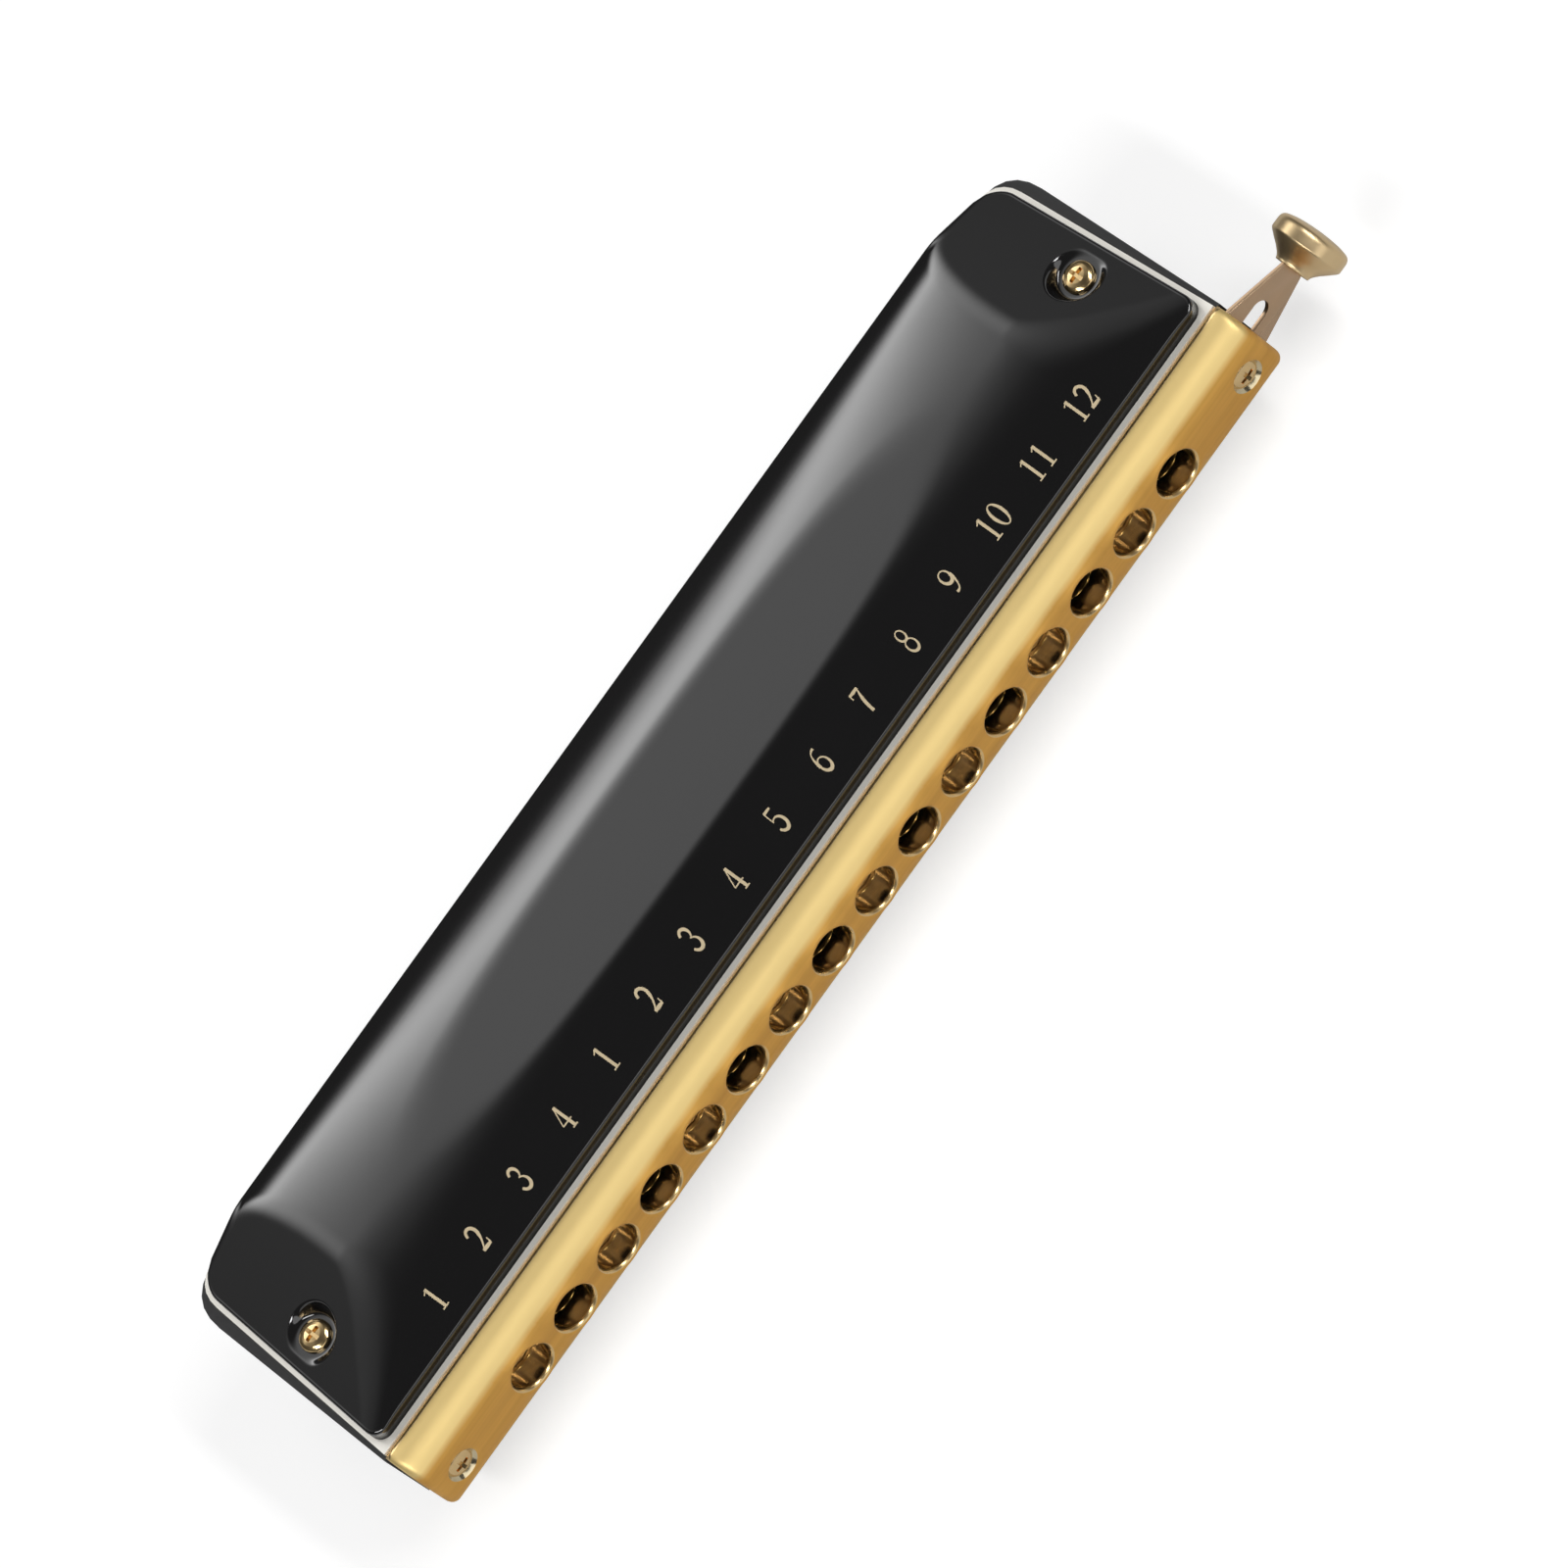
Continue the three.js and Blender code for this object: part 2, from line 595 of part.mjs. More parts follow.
function comb() {
  const outline = planShape(COMB_ENDS, COMB_FRONT_Y, COMB_BACK_Y, 0, COMB_CORNER_R);
  const blank = solid(raised(outline, -COMB_HALF_HEIGHT, COMB_HALF_HEIGHT));
  const cells = HOLES.flatMap(cellAndThroat);
  let upper = solid(cells[0]);
  for (const cut of cells.slice(1)) upper = upper.add(solid(cut));
  const lower = solid(mirroredBelow(geometryOf(upper)));
  const blindEnd = PLATE_SCREW_LENGTH - PLATE_T + TURN_GAP;
  const screwHoles = [
    ...plateScrewHoles(COMB_HALF_HEIGHT - blindEnd, COMB_HALF_HEIGHT + OVERRUN),
    ...plateScrewHoles(-COMB_HALF_HEIGHT - OVERRUN, -COMB_HALF_HEIGHT + blindEnd),
  ];
  for (const side of [-1, 1]) {
    const through = rod(COVER_SCREW_R + TURN_GAP, -2 * COMB_HALF_HEIGHT, 2 * COMB_HALF_HEIGHT, 12);
    screwHoles.push(through.translate(side * COVER_SCREW_X, COVER_SCREW_Y, 0));
    const end = MOUTH_SCREW_LENGTH + TURN_GAP;
    const front = rodBack(MOUTH_SCREW_R + TURN_GAP, COMB_FRONT_Y - OVERRUN, end, 10);
    screwHoles.push(front.translate(side * MOUTH_SCREW_X, 0, 0));
  }
  const body = blank.subtract(upper).subtract(lower).subtract(solids(screwHoles));
  return mesh("comb", geometryOf(body.subtract(springPocket())), BODY_PLASTIC);
}

// The same geometry mirrored in z = 0, with its faces turned back out.
function mirroredBelow(geometry) {
  const flat = geometry.index ? geometry.toNonIndexed() : geometry.clone();
  const places = flat.attributes.position.array;
  for (let i = 0; i < places.length; i += 9) {
    for (let k = 0; k < 3; k++) {
      const held = places[i + 3 + k];
      places[i + 3 + k] = places[i + 6 + k];
      places[i + 6 + k] = held;
    }
  }
  for (let i = 2; i < places.length; i += 3) places[i] *= -1;
  return flat;
}

// Reed plates

// The slot that a reed swings through, and the reed itself, on the upper plate.
// The outer reed is fixed at the back of its slot, and the inner one at the front.
function reedAndSlot(index, outer) {
  const x = holeX(index) + (outer ? REED_SPACING / 2 : -REED_SPACING / 2);
  const front = COMB_FRONT_Y + SLOT_FRONT;
  const back = front + slotLength(index);
  const slot = block(
    x - SLOT_W / 2,
    x + SLOT_W / 2,
    front,
    back,
    COMB_HALF_HEIGHT - OVERRUN,
    PLATE_OUT_Z + OVERRUN,
  );
  const half = SLOT_W / 2 - REED_PLAY;
  const y0 = outer ? front + REED_PLAY : front - REED_PAD;
  const y1 = outer ? back + REED_PAD : back - REED_PLAY;
  const face = outer ? PLATE_OUT_Z - REED_SEAT : COMB_HALF_HEIGHT + REED_SEAT;
  const away = outer ? REED_T + REED_SEAT : -REED_T - REED_SEAT;
  const reed = block(x - half, x + half, y0, y1, Math.min(face, face + away), Math.max(face, face + away));
  return { slot, reed };
}

function reedPlate(name, below) {
  const back = COMB_BACK_Y - PLATE_BACK_INSET;
  const outline = planShape(PLATE_ENDS, COMB_FRONT_Y, back, 0, PLATE_CORNER_R);
  const blank = solid(raised(outline, COMB_HALF_HEIGHT, PLATE_OUT_Z));
  const pairs = HOLES.flatMap((i) => [reedAndSlot(i, true), reedAndSlot(i, false)]);
  const holes = plateScrewHoles(COMB_HALF_HEIGHT - OVERRUN, PLATE_OUT_Z + OVERRUN);
  for (const side of [-1, 1]) {
    const hole = rod(COVER_SCREW_R + TURN_GAP, COMB_HALF_HEIGHT - OVERRUN, PLATE_OUT_Z + OVERRUN, 12);
    holes.push(hole.translate(side * COVER_SCREW_X, COVER_SCREW_Y, 0));
  }
  const cut = blank.subtract(solids(pairs.map((p) => p.slot))).subtract(solids(holes));
  const made = geometryOf(cut.add(solids(pairs.map((p) => p.reed))));
  return mesh(name, below ? mirroredBelow(made) : made, NICKEL);
}

// Mouthpiece

// The section in y and z: a nearly flat front with a large round edge above and below.
function mouthSection() {
  const shape = new THREE.Shape();
  const r = MOUTH_EDGE_R;
  const h = MOUTH_HALF_HEIGHT;
  const back = MOUTH_DEPTH + MOUTH_END_R;
  shape.moveTo(back, -h);
  shape.lineTo(back, h);
  shape.lineTo(r, h);
  shape.absarc(r, h - r, r, Math.PI / 2, Math.PI, false);
  shape.absarc(r, r - h, r, Math.PI, Math.PI * 1.5, false);
  return shape;
}

// A quarter round leads into each hole; these are shares of its turn.
const RIM_SHARES = [0, 0.5, 1];
const HOLE_SIDES = 12;

function mouthHole(x) {
  const rim = RIM_SHARES.map((share) => {
    const angle = (share * Math.PI) / 2;
    return [HOLE_R + HOLE_RIM_R * (1 - Math.sin(angle)), HOLE_RIM_R * (1 - Math.cos(angle))];
  });
  return turnedBack(
    [[0, -OVERRUN], [HOLE_R + HOLE_RIM_R, -OVERRUN], ...rim, [HOLE_R, MOUTH_DEPTH], [0, MOUTH_DEPTH]],
    HOLE_SIDES,
  ).translate(x, 0, 0);
}

function mouthpiece() {
  const length = 2 * (MOUTH_HALF_LENGTH - MOUTH_END_R);
  const blank = new THREE.ExtrudeGeometry(mouthSection(), {
    depth: length,
    bevelEnabled: true,
    bevelThickness: MOUTH_END_R,
    bevelSize: MOUTH_END_R,
    bevelOffset: -MOUTH_END_R,
    bevelSegments: 2,
    curveSegments: 4,
  });
  blank.translate(0, 0, -length / 2);
  blank.applyMatrix4(new THREE.Matrix4().set(0, 0, 1, 0, 1, 0, 0, 0, 0, 1, 0, 0, 0, 0, 0, 1));
  const reach = MOUTH_HALF_LENGTH + OVERRUN;
  const behind = block(-reach, reach, MOUTH_DEPTH, MOUTH_DEPTH + 3 * OVERRUN, -reach, reach);
  const channel = block(
    -reach,
    reach,
    CHANNEL_FLOOR_Y,
    MOUTH_DEPTH + OVERRUN,
    -CHANNEL_HALF_HEIGHT,
    CHANNEL_HALF_HEIGHT,
  );
  const sinkR = MOUTH_SCREW_R + TURN_GAP;
  const sinks = [-1, 1].map((side) =>
    turnedBack(
      [
        [0, -OVERRUN],
        [SINK_R, -OVERRUN],
        [SINK_R, 0],
        [sinkR, SINK_DEPTH],
        [sinkR, MOUTH_DEPTH],
        [0, MOUTH_DEPTH],
      ],
      20,
    ).translate(side * MOUTH_SCREW_X, 0, 0),
  );
  const holes = HOLES.map((i) => mouthHole(holeX(i)));
  const body = solid(blank)
    .subtract(solid(behind))
    .subtract(solid(channel))
    .subtract(solids([...holes, ...sinks]));
  return mesh("mouthpiece", geometryOf(body), GILT);
}

// Slide frame, slide and backing plate

function slideFrame() {
  const half = FRAME_HALF_HEIGHT;
  const end = MOUTH_HALF_LENGTH - STACK_END_MARGIN;
  const blank = block(-end, end, CHANNEL_FLOOR_Y, MOUTH_DEPTH, -half, half);
  const inner = half - FRAME_WALL;
  const reach = end + OVERRUN;
  const trough = block(
    -reach,
    reach,
    CHANNEL_FLOOR_Y + FRAME_T,
    MOUTH_DEPTH + OVERRUN,
    -inner,
    inner,
  );
  const y0 = CHANNEL_FLOOR_Y - OVERRUN;
  const holes = HOLES.map((i) => rodBack(HOLE_R, y0, MOUTH_DEPTH, HOLE_SIDES).translate(holeX(i), 0, 0));
  for (const side of [-1, 1]) {
    const hole = rodBack(MOUTH_SCREW_R + TURN_GAP, y0, MOUTH_DEPTH, 12);
    holes.push(hole.translate(side * MOUTH_SCREW_X, 0, 0));
  }
  const body = solid(blank).subtract(solid(trough)).subtract(solids(holes));
  return mesh("slide_frame", geometryOf(body), BRASS);
}

// A slot along x with round ends, cut through the slide about a screw.
function slotShape(x0, x1, r) {
  const shape = new THREE.Shape();
  shape.moveTo(x0 + r, -r);
  shape.lineTo(x1 - r, -r);
  shape.absarc(x1 - r, 0, r, -Math.PI / 2, Math.PI / 2, false);
  shape.lineTo(x0 + r, r);
  shape.absarc(x0 + r, 0, r, Math.PI / 2, Math.PI * 1.5, false);
  return shape;
}

// A shape drawn in x and z, given its thickness along y.
function upright(shape, y0, y1, curveSegments = 6) {
  const g = raised(shape, 0, y1 - y0, curveSegments);
  return g.rotateX(Math.PI / 2).translate(0, y1, 0);
}

// Windows in the slide. At rest the odd holes open upwards and the even ones downwards, and
// pressed in by its travel it is the other way round.
function slideWindows() {
  const cuts = [];
  for (const i of HOLES) {
    const restRow = i % 2 === 0 ? 1 : -1;
    cuts.push([holeX(i), restRow]);
    cuts.push([holeX(i) + SLIDE_TRAVEL, -restRow]);
  }
  return cuts.map(([x, row]) => windowBlock(x, row, SLIDE_FRONT_Y, SLIDE_BACK_Y));
}

function windowBlock(x, row, y0, y1) {
  const low = CELL_WEB / 2;
  const high = low + WINDOW_H;
  return block(
    x - WINDOW_W / 2,
    x + WINDOW_W / 2,
    y0 - OVERRUN,
    y1 + OVERRUN,
    row > 0 ? low : -high,
    row > 0 ? high : -low,
  );
}

function slideOutline() {
  const shape = new THREE.Shape();
  const inner = -MOUTH_HALF_LENGTH + SLIDE_TRAVEL + SLIDE_END_MARGIN;
  const h = SLIDE_HALF_HEIGHT;
  const outer = BUTTON_FOOT_X + TONGUE_LENGTH - TONGUE_PLAY;
  shape.moveTo(inner, -h);
  shape.lineTo(MOUTH_HALF_LENGTH, -h);
  shape.lineTo(BUTTON_FOOT_X, -NECK_DROP - NECK_HALF_HEIGHT);
  shape.lineTo(outer, -NECK_DROP - NECK_HALF_HEIGHT);
  shape.lineTo(outer, -NECK_DROP + NECK_HALF_HEIGHT);
  shape.lineTo(BUTTON_FOOT_X, -NECK_DROP + NECK_HALF_HEIGHT);
  shape.lineTo(MOUTH_HALF_LENGTH, h);
  shape.lineTo(inner, h);
  return shape;
}

// At rest the right slot's inner end stands against its bumper, and pressed in the left slot's does.
function slide() {
  const stop = BUMPER_R + TURN_GAP;
  const left = slotShape(-MOUTH_SCREW_X - stop, -MOUTH_SCREW_X + stop + SLIDE_TRAVEL, SLIDE_SLOT_R);
  const tip = MOUTH_HALF_LENGTH + SLIDE_SLOT_OUTSIDE;
  const right = slotShape(MOUTH_SCREW_X - stop, tip, SLIDE_SLOT_R);
  const y0 = SLIDE_FRONT_Y - OVERRUN;
  const y1 = SLIDE_BACK_Y + OVERRUN;
  const springHole = rodBack(SPRING_WIRE_R + TURN_GAP, y0, y1, 10).translate(-SPRING_TIP_X, 0, 0);
  const body = solid(upright(slideOutline(), SLIDE_FRONT_Y, SLIDE_BACK_Y))
    .subtract(solids([...slideWindows(), upright(right, y0, y1), springHole]))
    .subtract(solid(upright(left, y0, y1)));
  return mesh("slide", geometryOf(body), NICKEL);
}

function backingPlate() {
  const end = MOUTH_HALF_LENGTH - STACK_END_MARGIN;
  const h = SLIDE_HALF_HEIGHT;
  const blank = block(-end, end, BACKING_FRONT_Y, MOUTH_DEPTH, -h, h);
  const cuts = HOLES.flatMap((i) =>
    [1, -1].map((row) => windowBlock(holeX(i), row, BACKING_FRONT_Y, MOUTH_DEPTH)),
  );
  const y0 = BACKING_FRONT_Y - OVERRUN;
  const y1 = MOUTH_DEPTH + OVERRUN;
  const springR = SPRING_WIRE_R + TURN_GAP;
  const springSlot = slotShape(
    -SPRING_TIP_X - SLIDE_TRAVEL - springR,
    -SPRING_TIP_X + springR,
    springR,
  );
  cuts.push(upright(springSlot, y0, y1));
  for (const side of [-1, 1]) {
    const hole = rodBack(MOUTH_SCREW_R + TURN_GAP, y0, y1, 12);
    cuts.push(hole.translate(side * MOUTH_SCREW_X, 0, 0));
  }
  return mesh("slide_backing_plate", geometryOf(solid(blank).subtract(solids(cuts))), BRASS);
}

// Button

// Shares of the cone's widening and length, and of the dome's radius and height.
const BUTTON_CONE_SHARES = [[0, 0], [0.35, 0.5], [0.94, 1], [1, 1.08]];
const BUTTON_DOME_SHARES = [[1, 0], [0.85, 0.52], [0.48, 0.88], [0, 1]];

function button() {
  const rimX = BUTTON_CONE + BUTTON_RIM;
  const cone = BUTTON_CONE_SHARES.map(([rise, along]) => [
    BUTTON_FOOT_R + (BUTTON_R - BUTTON_FOOT_R) * rise,
    BUTTON_CONE * along,
  ]);
  const dome = BUTTON_DOME_SHARES.map(([out, along]) => [BUTTON_R * out, rimX + BUTTON_DOME * along]);
  const profile = [[0, 0], ...cone, ...dome];
  const knob = turned(profile, 18).rotateY(Math.PI / 2).translate(BUTTON_FOOT_X, SLIDE_MID_Y, 0);
  const slit = block(
    BUTTON_FOOT_X - OVERRUN,
    BUTTON_FOOT_X + TONGUE_LENGTH,
    SLIDE_FRONT_Y - TONGUE_PLAY,
    SLIDE_BACK_Y + TONGUE_PLAY,
    -NECK_HALF_HEIGHT - TONGUE_PLAY,
    NECK_HALF_HEIGHT + TONGUE_PLAY,
  );
  const made = mesh("button", geometryOf(solid(knob).subtract(solid(slit))), GILT);
  made.position.z = -NECK_DROP;
  return made;
}

// The spring is a hairpin in the comb's pocket. One leg lies along the pocket's outer wall, the
// wire winds round the post, and the other leg reaches through the backing plate into the slide.
const SPRING_STEPS = 12;

function spring() {
  const r = SPRING_COIL_R;
  const x = -SPRING_COIL_X;
  const y = COMB_FRONT_Y + SPRING_COIL_Y;
  const wallX = -POCKET_END_X + SPRING_WIRE_R + TURN_GAP;
  const low = (-SPRING_COIL_PITCH * SPRING_TURNS) / 2;
  const points = [
    new THREE.Vector3(wallX, COMB_FRONT_Y + SPRING_WIRE_R + TURN_GAP, low),
    new THREE.Vector3(wallX, (COMB_FRONT_Y + y) / 2 - r, low),
    new THREE.Vector3(x - r, y - r, low),
  ];
  for (let i = 0; i <= SPRING_STEPS; i++) {
    const share = i / SPRING_STEPS;
    const angle = Math.PI - share * 2 * Math.PI * SPRING_TURNS;
    const z = low + SPRING_COIL_PITCH * SPRING_TURNS * share;
    points.push(new THREE.Vector3(x + r * Math.cos(angle), y + r * Math.sin(angle), z));
  }
  points.push(new THREE.Vector3(x + r, y - r, -low / 2));
  points.push(new THREE.Vector3(-SPRING_TIP_X, COMB_FRONT_Y + r, 0));
  points.push(new THREE.Vector3(-SPRING_TIP_X, COMB_FRONT_Y, 0));
  points.push(new THREE.Vector3(-SPRING_TIP_X, SLIDE_FRONT_Y + SLIDE_PLAY, 0));
  const path = new THREE.CatmullRomCurve3(points, false, "centripetal");
  const section = new THREE.Shape();
  section.absarc(0, 0, SPRING_WIRE_R, 0, 2 * Math.PI, false);
  const wire = new THREE.ExtrudeGeometry(section, { steps: 30, curveSegments: 3, extrudePath: path });
  return mesh("slide_spring", wire, SPRING_STEEL);
}

// Screws, nuts and bumpers

// Shares of a round head's radius and height, and of the cross's reach in it.
const HEAD_SHARES = [[1, 0], [1, 0.4], [0.72, 0.87], [0, 1]];
const CROSS_SHARE = 0.62;
const NUT_BEVEL_SHARE = 0.8;
const SUNK_HEAD_SHARES = [[1, 0], [0.6, 0.12], [0, 0.16]];

// A cross cut into a head that faces +z at the given height.
function crossCut(top) {
  const arm = COVER_HEAD_R * CROSS_SHARE;
  const across = (w, l) => block(-l, l, -w, w, top - CROSS_DEPTH, top + OVERRUN);
  return solid(across(CROSS_W / 2, arm)).add(solid(across(arm, CROSS_W / 2)));
}

function coverScrew(name, side) {
  const floor = PLATE_OUT_Z + DIMPLE_FLOOR;
  const head = HEAD_SHARES.map(([out, up]) => [COVER_HEAD_R * out, floor + COVER_HEAD_H * up]);
  const profile = [[0, -floor], [COVER_SCREW_R, -floor], [COVER_SCREW_R, floor], ...head];
  const body = solid(turned(profile, 12)).subtract(crossCut(floor + COVER_HEAD_H));
  const made = mesh(name, geometryOf(body), GILT);
  made.position.set(side * COVER_SCREW_X, COVER_SCREW_Y, 0);
  return made;
}

// The nut stands in the lower cover's dimple: a slotted head and a sleeve round the screw's end.
function coverNut(name, side) {
  const floor = PLATE_OUT_Z + DIMPLE_FLOOR;
  const bore = COVER_SCREW_R + TURN_GAP;
  const end = floor + COVER_HEAD_H;
  const profile = [
    [bore, floor - NUT_SLEEVE_LENGTH],
    [NUT_SLEEVE_R, floor - NUT_SLEEVE_LENGTH],
    [NUT_SLEEVE_R, floor],
    [COVER_HEAD_R, floor],
    [COVER_HEAD_R, end - COVER_HEAD_H / 2],
    [COVER_HEAD_R * NUT_BEVEL_SHARE, end],
    [bore, end],
    [bore, floor - NUT_SLEEVE_LENGTH],
  ];
  const reach = COVER_HEAD_R + OVERRUN;
  const half = NUT_SLOT_W / 2;
  const slot = block(-reach, reach, -half, half, end - CROSS_DEPTH, end + OVERRUN);
  const made = mesh(name, geometryOf(solid(turned(profile, 12)).subtract(solid(slot))), GILT);
  made.scale.z = -1;
  made.position.set(side * COVER_SCREW_X, COVER_SCREW_Y, 0);
  return made;
}

function mouthScrew(name, side) {
  const profile = [
    [0, MOUTH_SCREW_LENGTH],
    [MOUTH_SCREW_R, MOUTH_SCREW_LENGTH - MOUTH_SCREW_R],
    [MOUTH_SCREW_R, MOUTH_HEAD_H],
    ...SUNK_HEAD_SHARES.map(([out, up]) => [MOUTH_HEAD_R * out, -MOUTH_HEAD_H * up]),
  ].reverse();
  const cross = geometryOf(crossCut(0)).rotateX(Math.PI / 2);
  const body = solid(turnedBack(profile, 12)).subtract(solid(cross));
  const made = mesh(name, geometryOf(body), GILT);
  made.position.set(side * MOUTH_SCREW_X, (SINK_R - MOUTH_HEAD_R) / 2, 0);
  return made;
}

function bumper(name, side) {
  const y0 = SLIDE_FRONT_Y;
  const y1 = SLIDE_BACK_Y;
  const profile = [
    [BUMPER_BORE_R, y0],
    [BUMPER_R, y0],
    [BUMPER_R, y1],
    [BUMPER_BORE_R, y1],
    [BUMPER_BORE_R, y0],
  ];
  const made = mesh(name, geometryOf(solid(turnedBack(profile, 18))), SOFT_TUBE);
  made.position.x = side * MOUTH_SCREW_X;
  return made;
}

function plateScrew(name, [x, y], below) {
  const profile = [
    [0, PLATE_OUT_Z - PLATE_SCREW_LENGTH],
    [PLATE_SCREW_R, PLATE_OUT_Z - PLATE_SCREW_LENGTH + PLATE_SCREW_R],
    [PLATE_SCREW_R, PLATE_OUT_Z],
    [PLATE_HEAD_R, PLATE_OUT_Z],
    [PLATE_HEAD_R * NUT_BEVEL_SHARE, PLATE_OUT_Z + PLATE_HEAD_H],
    [0, PLATE_OUT_Z + PLATE_HEAD_H],
  ];
  const made = mesh(name, turned(profile, 6), BRASS);
  if (below) made.scale.z = -1;
  made.position.set(x, y, 0);
  return made;
}

// The whole instrument, laid on the flat of its lower cover

const instrument = new THREE.Group();
instrument.add(comb());
instrument.add(reedPlate("upper_reed_plate", false));
instrument.add(reedPlate("lower_reed_plate", true));
instrument.add(upperCover());
instrument.add(lowerCover());
instrument.add(mouthpiece());
instrument.add(slideFrame());
instrument.add(slide());
instrument.add(backingPlate());
instrument.add(button());
instrument.add(spring());
instrument.add(bumper("left_bumper", -1));
instrument.add(bumper("right_bumper", 1));
instrument.add(mouthScrew("mouthpiece_screw_left", -1));
instrument.add(mouthScrew("mouthpiece_screw_right", 1));
instrument.add(coverScrew("cover_screw_left", -1));
instrument.add(coverScrew("cover_screw_right", 1));
instrument.add(coverNut("cover_nut_left", -1));
instrument.add(coverNut("cover_nut_right", 1));
plateScrewPlaces().forEach((place, i) => {
  instrument.add(plateScrew("upper_plate_screw_" + (i + 1), place, false));
  instrument.add(plateScrew("lower_plate_screw_" + (i + 1), place, true));
});
instrument.position.set(0, -CROWN_AT_Y, PLATE_OUT_Z + COVER_HEIGHT);

const harmonica = new THREE.Group();
harmonica.add(instrument);
export default harmonica;
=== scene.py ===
import math
from functools import partial
from types import SimpleNamespace

import bmesh
import bpy
from bpy.props import FloatProperty, FloatVectorProperty, IntProperty, PointerProperty
from mathutils import Matrix, Vector
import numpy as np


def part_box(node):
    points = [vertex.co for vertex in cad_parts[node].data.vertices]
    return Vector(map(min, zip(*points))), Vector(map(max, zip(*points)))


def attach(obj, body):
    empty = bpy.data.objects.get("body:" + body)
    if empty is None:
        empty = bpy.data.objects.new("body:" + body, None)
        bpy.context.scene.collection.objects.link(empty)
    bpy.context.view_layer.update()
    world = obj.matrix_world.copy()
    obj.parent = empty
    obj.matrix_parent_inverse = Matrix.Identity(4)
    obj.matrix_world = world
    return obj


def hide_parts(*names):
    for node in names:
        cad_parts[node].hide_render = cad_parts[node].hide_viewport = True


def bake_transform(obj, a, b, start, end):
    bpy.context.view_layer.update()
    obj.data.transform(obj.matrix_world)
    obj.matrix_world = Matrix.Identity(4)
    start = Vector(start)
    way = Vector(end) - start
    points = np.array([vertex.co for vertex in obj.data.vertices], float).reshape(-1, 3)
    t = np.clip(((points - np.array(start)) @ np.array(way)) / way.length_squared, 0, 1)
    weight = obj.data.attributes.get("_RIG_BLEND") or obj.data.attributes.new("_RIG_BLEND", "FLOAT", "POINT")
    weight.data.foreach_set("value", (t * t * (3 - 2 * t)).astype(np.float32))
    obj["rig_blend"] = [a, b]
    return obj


bl_info = {
    "name": "Chromatic Harmonica",
    "version": (1, 0, 0),
    "blender": (4, 5, 0),
    "location": "View3D > Sidebar > Harmonica",
    "description": "Makes a chromatic harmonica's covers, mouthpiece, slide, screws and printed numbers",
    "category": "Add Mesh",
}

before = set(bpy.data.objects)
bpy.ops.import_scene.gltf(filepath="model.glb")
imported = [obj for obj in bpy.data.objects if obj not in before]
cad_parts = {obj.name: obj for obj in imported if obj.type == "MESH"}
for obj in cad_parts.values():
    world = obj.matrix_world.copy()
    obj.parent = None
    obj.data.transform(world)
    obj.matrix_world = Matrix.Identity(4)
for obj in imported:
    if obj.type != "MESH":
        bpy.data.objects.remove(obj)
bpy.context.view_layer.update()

MM = 0.001

# The front of the mouthpiece and the middle of the comb, from the resting place's origin
FRONT_AT = -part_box("mouthpiece")[0].y
MIDDLE_AT = (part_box("comb")[0].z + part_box("comb")[1].z) / 2


def place(x, y, z):
    """A point in millimetres about the middle of the front, as a place in metres."""
    return Vector((x * MM, y * MM - FRONT_AT, z * MM + MIDDLE_AT))


# Sizes and colours

def length(name, description, millimetres):
    """A length that is shown in the file's own units."""
    shown = {"unit": "LENGTH", "precision": 5}
    return FloatProperty(name=name, description=description, default=millimetres * MM, **shown)


def share(name, description, default):
    """A number from nothing to all."""
    shown = {"min": 0, "max": 1, "subtype": "FACTOR"}
    return FloatProperty(name=name, description=description, default=default, **shown)


def number(name, description, default, **shown):
    """Any other number, or an angle."""
    return FloatProperty(name=name, description=description, default=default, **shown)


def colour(name, description, default):
    """A surface colour."""
    shown = {"size": 3, "min": 0, "max": 1, "subtype": "COLOR"}
    return FloatVectorProperty(name=name, description=description, default=default, **shown)


def plain(group):
    """A group's lengths in millimetres, with its other values as they are."""
    values = {}
    for key, prop in group.bl_rna.properties.items():
        if key not in ("rna_type", "name"):
            value = getattr(group, key)
            values[key] = value / MM if getattr(prop, "unit", "NONE") == "LENGTH" else value
    return SimpleNamespace(**values)


class RowSizes(bpy.types.PropertyGroup):
    """The row of mouth holes."""

    count: IntProperty(name="Holes", description="Mouth holes in the row", default=16, min=2)
    pitch: length("Pitch", "From one hole to the next", 9.5)
    radius: length("Bore radius", "Radius of a hole", 3.4)
    rim: length("Rim radius", "Rounding that leads into a hole", 0.7)
    collar: length("Collar", "Flat round a hole beyond its rounding", 0.12)


